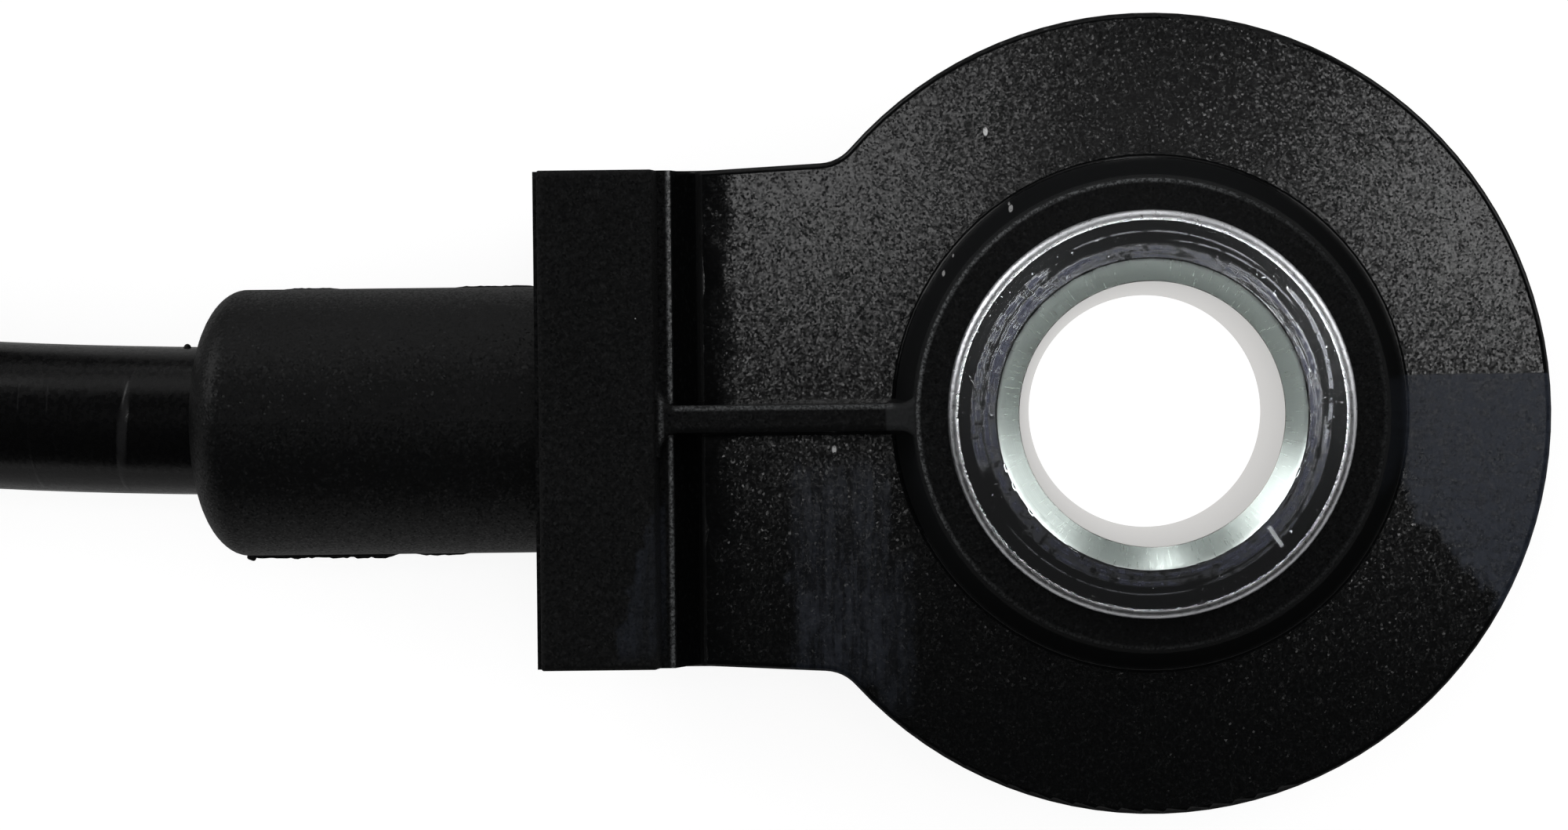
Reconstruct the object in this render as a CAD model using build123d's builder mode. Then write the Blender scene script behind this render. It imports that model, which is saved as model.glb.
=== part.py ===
from build123d import *
import math
import os

# Ring-type engine knock sensor with a moulded cable exit, in millimetres.
# The origin is the centre of the bolt bore at the seating face. +Z points up
# along the bore, and the cable leaves towards -X.

# Bolt sleeve, a turned steel part with a flange at its foot
bore_diameter = 8.4
sleeve_diameter = 12.9
sleeve_height = 18.0
sleeve_mouth_chamfer = 0.7
sleeve_rim_round = 0.35
flange_reach = 4.55
flange_thickness = 2.0
flange_edge_chamfer = 0.2
sleeve_groove_count = 2
sleeve_groove_pitch = 1.2
sleeve_groove_width = 0.6
sleeve_groove_depth = 0.25
sleeve_groove_base = 14.0

# Sensing stack, clamped between the flange and the ring nut
stack_inset = 0.5
electrode_inset = 0.4
insulator_thickness = 0.3
contact_thickness = 0.3
piezo_thickness = 3.0
mass_height = 3.6
mass_edge_chamfer = 0.3
spring_height = 0.9
spring_thickness = 0.5
nut_wall = 2.05
nut_height = 1.9
nut_slot_count = 4
nut_slot_width = 1.6
nut_slot_depth = 0.6
tube_wall = 0.3

# Clearances
slip_clearance = 0.05
mould_clearance = 0.02

# Moulded housing
parting_height = 9.0
draft_angle = 2.0
housing_foot = 0.6
ring_diameter = 26.46
ring_edge_round = 0.2
plate_half_height = 4.8
neck_width = 16.48
neck_flare_width = 17.0
neck_flare_start = 14.4
neck_flare_end = 9.6
neck_flare_round = 10.0
neck_junction_round = 1.2
collar_base_wall = 1.89
collar_top_wall = 1.04
collar_top_height = 16.9
collar_edge_round = 0.12
collar_foot_round = 0.15
block_front = 15.52
block_length = 4.22
block_width = 16.44
block_half_height = 8.0
block_corner_round = 0.35
block_edge_round = 0.2
ledge_height = 15.8
ledge_front = 15.33
ledge_foot = 14.62
ledge_inset = 0.1
rib_width = 0.85
rib_top_height = 16.7
rib_draft_angle = 3.0
rib_edge_round = 0.22
rib_end_round = 0.6
rib_end_inset = 0.2
rib_end_spread = 1.2
rib_root_depth = 0.5
boss_diameter = 9.0
boss_end = 31.9
boss_nose_length = 1.5
boss_nose_height = 2.63

# Shielded two-core cable
cable_diameter = 5.0
sheath_end = 23.0
core_diameter = 1.5
conductor_diameter = 0.6
core_spacing = 1.7
core_end = 17.6
conductor_end = 14.8
braid_diameter = 4.4
braid_bore = 3.5
braid_length = 1.2

# Contact leads, folded up from the contact discs and rolled into crimp barrels
lead_width = 1.2
lead_standoff = 1.1
lead_overlap = 0.3
lead_bend_radius = 0.4
crimp_diameter = 1.3
crimp_bore = 0.7
crimp_start = 14.6
crimp_length = 2.4

# Stored coil of the cable, three turns deep and held by two ties
coil_center_x = -68.5
coil_center_y = 31.3
coil_mean_radius = 25.0
turn_spacing = 5.2
turn_rise = 5.0
tie_thickness = 0.5
tie_arc = 8.0
tie_angles = (0.0, 180.0)
tie_head_width = 3.0
tie_head_height = 4.0
tie_head_depth = 1.6
tie_head_lift = 2.0
coil_entry_angle = -97.0
coil_exit_angle = 90.0

# Plug at the far end
plug_center_y = 53.5
boot_start = -36.0
boot_length = 14.0
boot_diameter = 7.2
boot_grip = 6.0
boot_flare_width = 12.0
boot_flare_height = 9.0
boot_corner_round = 3.0
plug_length = 24.0
plug_width = 15.0
plug_height = 12.0
plug_corner_round = 2.5
plug_edge_round = 0.4
shroud_wall = 1.4
shroud_depth = 12.0
latch_length = 6.0
latch_width = 5.0
latch_height = 1.4
terminal_pitch = 5.0
terminal_barrel_diameter = 2.0
terminal_barrel_length = 5.0
blade_width = 2.8
blade_thickness = 0.8
blade_reach = 7.0
blade_tip_chamfer = 0.25
wire_seal_diameter = 3.4
wire_seal_length = 3.6
plug_core_bend = 1.6
lock_length = 4.0
lock_width = 9.0
lock_depth = 1.2

# Cable route outside the coil, from the sheath's end to the coil and from the
# coil to the plug. Points are chosen by hand, at the cable's centre line.
lead_points = [
    (-sheath_end, 0.0, parting_height),
    (-34.5, 0.0, parting_height),
    (-46.5, 0.9, 7.7),
    (-55.5, 1.85, 4.8),
]
lead_last_run = 8.0
tail_points = [
    (-59.0, 56.3, 8.0),
    (-49.0, 55.5, 7.6),
    (-39.2, 53.5, 6.0),
]
corner_share = 0.45

# Radii and levels that follow from the sizes
bore_radius = bore_diameter / 2
sleeve_radius = sleeve_diameter / 2
flange_radius = sleeve_radius + flange_reach
stack_radius = flange_radius - stack_inset
electrode_radius = stack_radius - electrode_inset
nut_radius = sleeve_radius + nut_wall
lead_riser = stack_radius + lead_standoff
lead_root = electrode_radius - lead_overlap
tube_inner_radius = sleeve_radius + slip_clearance
tube_outer_radius = tube_inner_radius + tube_wall
stack_bore_radius = tube_outer_radius + slip_clearance
lower_contact_level = flange_thickness + insulator_thickness
piezo_level = lower_contact_level + contact_thickness
upper_contact_level = piezo_level + piezo_thickness
upper_insulator_level = upper_contact_level + contact_thickness
mass_level = upper_insulator_level + insulator_thickness
spring_level = mass_level + mass_height
nut_level = spring_level + spring_height
nut_top = nut_level + nut_height
ring_radius = ring_diameter / 2
plate_top = parting_height + plate_half_height
plate_bottom = parting_height - plate_half_height
draft_slope = math.tan(math.radians(draft_angle))
ring_low_radius = ring_radius - plate_half_height * draft_slope
ring_foot_radius = ring_radius - (parting_height - housing_foot) * draft_slope
collar_base_radius = sleeve_radius + collar_base_wall
collar_root_radius = (collar_base_radius + ring_low_radius) / 2
collar_top_radius = sleeve_radius + collar_top_wall
block_back = block_front + block_length
boss_radius = boss_diameter / 2
cable_radius = cable_diameter / 2
core_radius = core_diameter / 2
conductor_radius = conductor_diameter / 2
core_offset = core_spacing / 2
crimp_radius = crimp_diameter / 2
crimp_bore_radius = crimp_bore / 2
crimp_wall = crimp_radius - crimp_bore_radius
crimp_end = crimp_start + crimp_length
outer_turn_radius = coil_mean_radius + turn_spacing / 2
inner_turn_radius = coil_mean_radius - turn_spacing / 2
low_turn_level = tie_thickness + cable_radius
top_turn_level = low_turn_level + turn_rise
plug_axis_height = plug_height / 2
boot_end = boot_start + boot_length
plug_end = boot_end + plug_length
shroud_floor = plug_end - shroud_depth
terminal_offset = terminal_pitch / 2
wire_seal_radius = wire_seal_diameter / 2
terminal_barrel_radius = terminal_barrel_diameter / 2
terminal_barrel_start = boot_end + wire_seal_length

boss_axis = Axis((0, 0, parting_height), (1, 0, 0))
coil_center = Vector(coil_center_x, coil_center_y, 0)
coil_axis = Axis(coil_center, (0, 0, 1))


def across(x, y=0.0, z=parting_height):
    """Plane square to X at this place, looking along +X."""
    return Plane(origin=(x, y, z), x_dir=(0, 1, 0), z_dir=(1, 0, 0))


def coil_section_plane(angle):
    """Upright plane through the coil's axis: local x is the radius, y is up."""
    turn = math.radians(angle)
    return Plane(
        origin=coil_center,
        x_dir=(math.cos(turn), math.sin(turn), 0),
        z_dir=(math.sin(turn), -math.cos(turn), 0),
    )


def corner_radii(points):
    """Radius of the arc at each inner point, as large as its runs allow."""
    radii = []
    for before, corner, after in zip(points, points[1:], points[2:]):
        run_in = Vector(*corner) - Vector(*before)
        run_out = Vector(*after) - Vector(*corner)
        half_turn = math.radians(run_in.get_angle(run_out)) / 2
        shorter = min(run_in.length, run_out.length)
        radii.append(corner_share * shorter / math.tan(half_turn))
    return radii


def coil_point(angle, radius, level):
    """Point of the coil at this angle, radius and height."""
    turn = math.radians(angle)
    return (
        coil_center_x + radius * math.cos(turn),
        coil_center_y + radius * math.sin(turn),
        level,
    )


# Ends of the two free stretches, tangent to the coil and to the plug
entry_turn = math.radians(coil_entry_angle)
entry_heading = Vector(math.sin(entry_turn), -math.cos(entry_turn), 0)
coil_entry = Vector(*coil_point(coil_entry_angle, outer_turn_radius, low_turn_level))
lead_run_start = coil_entry - entry_heading * lead_last_run
coil_exit = coil_point(coil_exit_angle, coil_mean_radius, top_turn_level)
plug_entry = (boot_start + boot_grip, plug_center_y, plug_axis_height)
lead_route = lead_points + [tuple(lead_run_start), tuple(coil_entry)]
tail_route = [coil_exit] + tail_points + [plug_entry]

# Steel sleeve
with BuildPart() as sleeve:
    with BuildSketch(Plane.XZ):
        with BuildLine():
            Polyline(
                (bore_radius, 0),
                (flange_radius, 0),
                (flange_radius, flange_thickness),
                (sleeve_radius, flange_thickness),
                (sleeve_radius, sleeve_height),
                (bore_radius, sleeve_height),
                close=True,
            )
        make_face()
    revolve(axis=Axis.Z)
    top_edges = sleeve.edges().group_by(Axis.Z)[-1].sort_by(SortBy.RADIUS)
    chamfer(top_edges[0], length=sleeve_mouth_chamfer)
    fillet(top_edges[-1], radius=sleeve_rim_round)
    foot_edges = sleeve.edges().group_by(Axis.Z)[0].sort_by(SortBy.RADIUS)
    chamfer(foot_edges[-1], length=flange_edge_chamfer)
    for groove in range(sleeve_groove_count):
        with BuildSketch(Plane.XY.offset(sleeve_groove_base + groove * sleeve_groove_pitch)):
            Circle(sleeve_radius)
            Circle(sleeve_radius - sleeve_groove_depth, mode=Mode.SUBTRACT)
        extrude(amount=sleeve_groove_width, mode=Mode.SUBTRACT)

# Insulating tube, which keeps the stack off the sleeve
with BuildPart() as insulating_tube:
    with BuildSketch(Plane.XY.offset(flange_thickness)):
        Circle(tube_outer_radius)
        Circle(tube_inner_radius, mode=Mode.SUBTRACT)
    extrude(amount=spring_level - flange_thickness)

# Lower insulating ring
with BuildPart() as lower_insulating_ring:
    with BuildSketch(Plane.XY.offset(flange_thickness)):
        Circle(stack_radius)
        Circle(stack_bore_radius, mode=Mode.SUBTRACT)
    extrude(amount=insulator_thickness)

# Piezoelectric ring
with BuildPart() as piezo_ring:
    with BuildSketch(Plane.XY.offset(piezo_level)):
        Circle(electrode_radius)
        Circle(stack_bore_radius, mode=Mode.SUBTRACT)
    extrude(amount=piezo_thickness)

# Upper insulating ring
with BuildPart() as upper_insulating_ring:
    with BuildSketch(Plane.XY.offset(upper_insulator_level)):
        Circle(stack_radius)
        Circle(stack_bore_radius, mode=Mode.SUBTRACT)
    extrude(amount=insulator_thickness)

# Seismic mass
with BuildPart() as seismic_mass:
    with BuildSketch(Plane.XY.offset(mass_level)):
        Circle(stack_radius)
        Circle(stack_bore_radius, mode=Mode.SUBTRACT)
    extrude(amount=mass_height)
    mass_circles = seismic_mass.edges().filter_by(GeomType.CIRCLE)
    outer_edges = mass_circles.sort_by(SortBy.RADIUS)[-2:]
    chamfer(outer_edges, length=mass_edge_chamfer)

# Disc spring, a shallow cone that rests on the mass and lifts to the nut
with BuildPart() as disc_spring:
    with BuildSketch(Plane.XZ):
        with BuildLine():
            Polyline(
                (stack_bore_radius, nut_level - spring_thickness),
                (stack_bore_radius, nut_level),
                (nut_radius, spring_level + spring_thickness),
                (nut_radius, spring_level),
                close=True,
            )
        make_face()
    revolve(axis=Axis.Z)

# Ring nut with driver slots
with BuildPart() as ring_nut:
    with BuildSketch(Plane.XY.offset(nut_level)):
        Circle(nut_radius)
        Circle(sleeve_radius + slip_clearance, mode=Mode.SUBTRACT)
    extrude(amount=nut_height)
    with BuildSketch(Plane.XY.offset(nut_top)):
        with PolarLocations(nut_radius, nut_slot_count):
            Rectangle(nut_radius, nut_slot_width)
    extrude(amount=-nut_slot_depth, mode=Mode.SUBTRACT)

# Contact discs, each one punched piece with a folded lead and a crimp barrel
contact_discs = {}
for contact_name, disc_level, lead_side in (
    ("lower_contact_disc", lower_contact_level, -1),
    ("upper_contact_disc", upper_contact_level, 1),
):
    lead_y = lead_side * core_offset
    lead_floor = parting_height - crimp_bore_radius - crimp_wall / 2
    with BuildPart() as contact_disc:
        with BuildSketch(Plane.XY.offset(disc_level)):
            Circle(electrode_radius)
            Circle(stack_bore_radius, mode=Mode.SUBTRACT)
        extrude(amount=contact_thickness)
        with BuildSketch(Plane.XZ.offset(-lead_y)):
            with BuildLine():
                FilletPolyline(
                    (-lead_root, disc_level + contact_thickness / 2),
                    (-lead_riser, disc_level + contact_thickness / 2),
                    (-lead_riser, lead_floor),
                    (-crimp_end, lead_floor),
                    radius=lead_bend_radius,
                )
            trace(line_width=contact_thickness)
        extrude(amount=lead_width / 2, both=True)
        with BuildSketch(across(-crimp_end, lead_y)):
            Circle(crimp_radius)
        extrude(amount=crimp_length)
        with BuildSketch(across(-crimp_end, lead_y)):
            Circle(crimp_bore_radius)
        extrude(amount=crimp_length, mode=Mode.SUBTRACT)
    contact_discs[contact_name] = contact_disc

# Cable cores inside the cable boss: insulation and stranded conductor
core_insulations = {}
core_conductors = {}
for core_name, core_side in (("signal", 1), ("return", -1)):
    core_y = core_side * core_offset
    with BuildPart() as core_insulation:
        with BuildSketch(across(-sheath_end, core_y)):
            Circle(core_radius)
            Circle(conductor_radius, mode=Mode.SUBTRACT)
        extrude(amount=sheath_end - core_end)
    core_insulations[f"{core_name}_core_insulation"] = core_insulation
    with BuildPart() as core_conductor:
        with BuildSketch(across(-sheath_end, core_y)):
            Circle(conductor_radius)
        extrude(amount=sheath_end - conductor_end)
    core_conductors[f"{core_name}_conductor"] = core_conductor

# Cut end of the shield braid
with BuildPart() as braid_end:
    with BuildSketch(across(-sheath_end)):
        Circle(braid_diameter / 2)
        Circle(braid_bore / 2, mode=Mode.SUBTRACT)
    extrude(amount=braid_length)

# Reinforcing rib with spread ends, run into the collar and the block
with BuildPart() as rib_blank:
    with BuildSketch(Plane.XY.offset(rib_top_height)) as rib_outline:
        Circle(collar_top_radius)
        rib_back = -(block_front + rib_end_inset)
        with Locations((rib_back, 0)):
            Rectangle(-rib_back, rib_width, align=(Align.MIN, Align.CENTER))
            Rectangle(rib_end_spread, rib_end_spread * 2, align=(Align.MAX, Align.CENTER))
        rib_corners = rib_outline.vertices().filter_by_position(
            Axis.Y, -rib_width, rib_width
        )
        fillet(rib_corners.filter_by_position(Axis.X, rib_back, 0), radius=rib_end_round)
    extrude(amount=plate_top - rib_root_depth - rib_top_height, taper=-rib_draft_angle)
    fillet(rib_blank.edges().group_by(Axis.Z)[-1], radius=rib_edge_round)

# Square block that carries the cable boss
with BuildPart() as block_blank:
    with BuildSketch(Plane.XY.offset(parting_height)):
        with Locations((-block_front, 0)):
            RectangleRounded(
                block_length,
                block_width,
                block_corner_round,
                align=(Align.MAX, Align.CENTER),
            )
    extrude(amount=block_half_height)
    draft(block_blank.faces().sort_by(Axis.Z)[1:-1], Plane.XY.offset(parting_height), draft_angle)
    fillet(block_blank.faces().sort_by(Axis.Z)[-1].edges(), radius=block_edge_round)
    mirror(about=Plane.XY.offset(parting_height))

# Cable boss with a rounded nose
with BuildPart() as boss_blank:
    nose_start = boss_end - boss_nose_length
    with BuildSketch(Plane.XZ):
        with BuildLine():
            nose_foot = parting_height + boss_radius - boss_nose_height
            Polyline(
                (-boss_end, nose_foot),
                (-boss_end, parting_height),
                (-block_front, parting_height),
                (-block_front, parting_height + boss_radius),
                (-nose_start, parting_height + boss_radius),
            )
            EllipticalCenterArc(
                (-nose_start, nose_foot),
                boss_nose_length,
                boss_nose_height,
                start_angle=90,
                arc_size=90,
            )
        make_face()
    revolve(axis=boss_axis)

# Cavity that the sleeve and the stack leave in the moulding
with BuildPart() as stack_cavity:
    cavity_stack_radius = stack_radius + mould_clearance
    cavity_nut_radius = nut_radius + mould_clearance
    cavity_sleeve_radius = sleeve_radius + mould_clearance
    with BuildSketch(Plane.XZ):
        with BuildLine():
            Polyline(
                (0, 0),
                (flange_radius + mould_clearance, 0),
                (flange_radius + mould_clearance, flange_thickness + mould_clearance),
                (cavity_stack_radius, flange_thickness + mould_clearance),
                (cavity_stack_radius, spring_level + mould_clearance),
                (cavity_nut_radius, spring_level + mould_clearance),
                (cavity_nut_radius, nut_top + mould_clearance),
                (cavity_sleeve_radius, nut_top + mould_clearance),
                (cavity_sleeve_radius, sleeve_height),
                (0, sleeve_height),
                close=True,
            )
        make_face()
    revolve(axis=Axis.Z)
    for groove in range(sleeve_groove_count):
        groove_level = sleeve_groove_base + groove * sleeve_groove_pitch
        with BuildSketch(Plane.XY.offset(groove_level + mould_clearance)):
            Circle(cavity_sleeve_radius)
            Circle(
                sleeve_radius - sleeve_groove_depth + mould_clearance,
                mode=Mode.SUBTRACT,
            )
        extrude(amount=sleeve_groove_width - 2 * mould_clearance, mode=Mode.SUBTRACT)

# Free stretches of the cable, each a tube along straight runs and tangent arcs
with BuildPart() as cable_lead:
    with BuildLine():
        lead_path = FilletPolyline(*lead_route, radius=corner_radii(lead_route))
    with BuildSketch(Plane(origin=lead_path @ 0, z_dir=lead_path % 0)):
        Circle(cable_radius)
    sweep(path=lead_path)

with BuildPart() as cable_tail:
    with BuildLine():
        tail_path = FilletPolyline(*tail_route, radius=corner_radii(tail_route))
    with BuildSketch(Plane(origin=tail_path @ 0, z_dir=tail_path % 0)):
        Circle(cable_radius)
    sweep(path=tail_path)

# Housing, moulded round the stack, the leads and the cable's end
with BuildPart() as housing:
    with BuildSketch(Plane.XY.offset(parting_height)) as plan:
        Circle(ring_radius)
        with BuildLine():
            Polyline(
                (-block_back, neck_width / 2),
                (-neck_flare_start, neck_width / 2),
                (-neck_flare_end, neck_flare_width / 2),
                (-neck_flare_end, -neck_flare_width / 2),
                (-neck_flare_start, -neck_width / 2),
                (-block_back, -neck_width / 2),
                close=True,
            )
        make_face()
        junctions = plan.vertices().group_by(Axis.X)[2]
        fillet(junctions, radius=neck_junction_round)
        fillet(plan.vertices().group_by(Axis.X)[1], radius=neck_flare_round)
    extrude(amount=plate_half_height)
    draft(housing.faces().sort_by(Axis.Z)[1:-1], Plane.XY.offset(parting_height), draft_angle)
    lower_half = mirror(
        housing.part, about=Plane.XY.offset(parting_height), mode=Mode.PRIVATE
    )
    fillet(housing.faces().sort_by(Axis.Z)[-1].edges(), radius=ring_edge_round)
    add(lower_half)
    with BuildSketch(Plane.XZ) as ring_profile:
        with BuildLine():
            Polyline(
                (0, housing_foot),
                (ring_foot_radius, housing_foot),
                (ring_low_radius, plate_bottom),
                (0, plate_bottom),
                close=True,
            )
        make_face()
        foot_corner = ring_profile.vertices().group_by(Axis.Y)[0].sort_by(Axis.X)[-1]
        fillet(foot_corner, radius=ring_edge_round)
    revolve(axis=Axis.Z)

    # Collar round the sleeve
    with BuildSketch(Plane.XZ) as collar_profile:
        with BuildLine():
            Polyline(
                (0, parting_height),
                (collar_root_radius, parting_height),
                (collar_root_radius, plate_top),
                (collar_base_radius, plate_top),
                (collar_top_radius, collar_top_height),
                (0, collar_top_height),
                close=True,
            )
        make_face()
        collar_corners = collar_profile.vertices().sort_by(Axis.X)
        fillet(collar_corners[-3], radius=collar_foot_round)
        fillet(collar_corners[-4], radius=collar_edge_round)
    revolve(axis=Axis.Z)

    # Ledge in front of the block
    with BuildSketch(Plane.XZ):
        with BuildLine():
            Polyline(
                (-block_back, parting_height),
                (-block_back, ledge_height),
                (-ledge_front, ledge_height),
                (-ledge_foot, plate_top),
                (-ledge_foot, parting_height),
                close=True,
            )
        make_face()
    extrude(amount=neck_width / 2 - plate_half_height * draft_slope - ledge_inset, both=True)
    add(rib_blank.part)
    add(block_blank.part)
    add(boss_blank.part)
    add(stack_cavity.part, mode=Mode.SUBTRACT)
    embedded = [cable_lead, braid_end, *contact_discs.values()]
    embedded += [*core_insulations.values(), *core_conductors.values()]
    for embedded_piece in embedded:
        add(embedded_piece.part, mode=Mode.SUBTRACT)

# Coiled length, as the outer shape of its turns
turn_centers = [
    (outer_turn_radius, low_turn_level),
    (inner_turn_radius, low_turn_level),
    (coil_mean_radius, top_turn_level),
]
with BuildPart() as cable_coil:
    with BuildSketch(coil_section_plane(0)):
        with Locations(*turn_centers):
            Circle(cable_radius)
        make_hull()
    revolve(axis=coil_axis)
    for free_path in (lead_path, tail_path):
        with BuildSketch(Plane(origin=free_path @ 0, z_dir=free_path % 0)):
            Circle(cable_radius + slip_clearance)
        sweep(path=free_path, mode=Mode.SUBTRACT)

# Ties round the coil, each a closed band with its head outside
coil_ties = {}
for tie_number, tie_angle in enumerate(tie_angles, start=1):
    tie_plane = coil_section_plane(tie_angle - tie_arc / 2)
    head_plane = coil_section_plane(tie_angle)
    with BuildPart() as coil_tie:
        with BuildSketch(tie_plane):
            with Locations(*turn_centers):
                Circle(cable_radius + tie_thickness)
            make_hull()
        revolve(axis=coil_axis, revolution_arc=tie_arc)
        head_foot = (outer_turn_radius + cable_radius, tie_head_lift)
        with BuildSketch(head_plane):
            with Locations(head_foot):
                Rectangle(tie_head_depth, tie_head_height, align=(Align.MIN, Align.MIN))
        extrude(amount=tie_head_width / 2, both=True)
        with BuildSketch(tie_plane):
            with Locations(*turn_centers):
                Circle(cable_radius)
            make_hull()
        revolve(axis=coil_axis, revolution_arc=tie_arc, mode=Mode.SUBTRACT)
    coil_ties[f"coil_tie_{tie_number}"] = coil_tie

# Cores inside the plug, spread from the cable to the terminals
plug_cores = {}
plug_terminals = {}
wire_seals = {}
core_run_end = boot_start + boot_grip
for core_name, core_side in (("signal", 1), ("return", -1)):
    core_y = plug_center_y + core_side * core_offset
    terminal_y = plug_center_y + core_side * terminal_offset
    terminal_plane = across(boot_end, terminal_y, plug_axis_height)
    with BuildPart() as plug_core:
        with BuildLine():
            core_path = FilletPolyline(
                (core_run_end, core_y, plug_axis_height),
                (core_run_end + core_diameter, core_y, plug_axis_height),
                (boot_end - core_diameter, terminal_y, plug_axis_height),
                (terminal_barrel_start, terminal_y, plug_axis_height),
                radius=plug_core_bend,
            )
        with BuildSketch(across(core_run_end, core_y, plug_axis_height)):
            Circle(core_radius)
        sweep(path=core_path)
    plug_cores[f"plug_{core_name}_core"] = plug_core

    with BuildPart() as wire_seal:
        with BuildSketch(terminal_plane):
            Circle(wire_seal_radius)
            Circle(core_radius, mode=Mode.SUBTRACT)
        extrude(amount=wire_seal_length)
    wire_seals[f"{core_name}_wire_seal"] = wire_seal

    with BuildPart() as plug_terminal:
        with BuildSketch(across(terminal_barrel_start, terminal_y, plug_axis_height)):
            Circle(terminal_barrel_radius)
        extrude(amount=terminal_barrel_length)
        blade_root = terminal_barrel_start + terminal_barrel_length
        with BuildSketch(across(blade_root, terminal_y, plug_axis_height)):
            Rectangle(blade_width, blade_thickness)
        extrude(amount=shroud_floor + blade_reach - blade_root)
        tip_edges = plug_terminal.edges().group_by(Axis.X)[-1]
        chamfer(tip_edges, length=blade_tip_chamfer)
    plug_terminals[f"{core_name}_terminal"] = plug_terminal

# Strain relief boot, tapered from the cable to the plug
with BuildPart() as plug_boot:
    with BuildSketch(across(boot_start, plug_center_y, plug_axis_height)):
        Circle(boot_diameter / 2)
    with BuildSketch(across(boot_end, plug_center_y, plug_axis_height)):
        RectangleRounded(boot_flare_width, boot_flare_height, boot_corner_round)
    loft()
    for gripped_piece in (cable_tail, *plug_cores.values()):
        add(gripped_piece.part, mode=Mode.SUBTRACT)

# Secondary lock, a flat slide pressed into the plug's top
lock_place = (boot_end + wire_seal_length + lock_length / 2, plug_center_y)
with BuildPart() as plug_lock:
    with BuildSketch(Plane.XY.offset(plug_height)):
        with Locations(lock_place):
            Rectangle(lock_length, lock_width)
    extrude(amount=-lock_depth)

# Plug housing with an open shroud round the two blades
with BuildPart() as plug_housing:
    with BuildSketch(across(boot_end, plug_center_y, plug_axis_height)):
        RectangleRounded(plug_width, plug_height, plug_corner_round)
    extrude(amount=plug_length)
    fillet(plug_housing.edges().group_by(Axis.X)[0], radius=plug_edge_round)
    with BuildSketch(Plane.XZ.offset(-plug_center_y)):
        with BuildLine():
            Polyline(
                (plug_end - latch_length, plug_height - plug_edge_round),
                (plug_end - latch_length, plug_height + latch_height),
                (plug_end, plug_height),
                (plug_end, plug_height - plug_edge_round),
                close=True,
            )
        make_face()
    extrude(amount=latch_width / 2, both=True)
    with BuildSketch(across(shroud_floor, plug_center_y, plug_axis_height)):
        RectangleRounded(
            plug_width - 2 * shroud_wall,
            plug_height - 2 * shroud_wall,
            plug_corner_round - shroud_wall,
        )
    extrude(amount=shroud_depth, mode=Mode.SUBTRACT)
    add(plug_lock.part, mode=Mode.SUBTRACT)
    plug_contents = [*plug_cores.values(), *wire_seals.values(), *plug_terminals.values()]
    for plug_content in plug_contents:
        add(plug_content.part, mode=Mode.SUBTRACT)

# Each piece is one node, written under its own name
pieces = {
    "sleeve": sleeve,
    "insulating_tube": insulating_tube,
    "lower_insulating_ring": lower_insulating_ring,
    "piezo_ring": piezo_ring,
    "upper_insulating_ring": upper_insulating_ring,
    "seismic_mass": seismic_mass,
    "disc_spring": disc_spring,
    "ring_nut": ring_nut,
    "braid_end": braid_end,
    "housing": housing,
    "cable_lead": cable_lead,
    "cable_coil": cable_coil,
    "cable_tail": cable_tail,
    "plug_boot": plug_boot,
    "plug_lock": plug_lock,
    "plug_housing": plug_housing,
    **contact_discs,
    **core_insulations,
    **core_conductors,
    **coil_ties,
    **plug_cores,
    **wire_seals,
    **plug_terminals,
}
os.makedirs("parts", exist_ok=True)
for piece_name, piece in pieces.items():
    piece.part.label = piece_name
    export_step(piece.part, f"parts/{piece_name}.step")

# Facts of the cable that a reader checks
section_area = math.pi * cable_radius**2
for route_name, route, path, tube in (
    ("lead", lead_route, lead_path, cable_lead),
    ("tail", tail_route, tail_path, cable_tail),
):
    radii_text = ", ".join(f"{radius:.1f}" for radius in corner_radii(route))
    print(f"{route_name}: corner radii {radii_text} mm")
    print(f"{route_name}: length {path.length:.1f} mm")
    print(f"{route_name}: volume {tube.part.volume:.1f}, expected {path.length * section_area:.1f}")
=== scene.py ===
"""Looks of a ring-type engine knock sensor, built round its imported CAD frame.

The origin is the centre of the bolt bore at the seating face, +Z points up
along the bore and the cable leaves towards -X. Sizes are in millimetres
where a name ends in _mm, and in metres elsewhere.
"""
import logging
import math
import random
from dataclasses import dataclass
from enum import Enum

import bmesh
import bpy
from mathutils import Matrix, Vector


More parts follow.
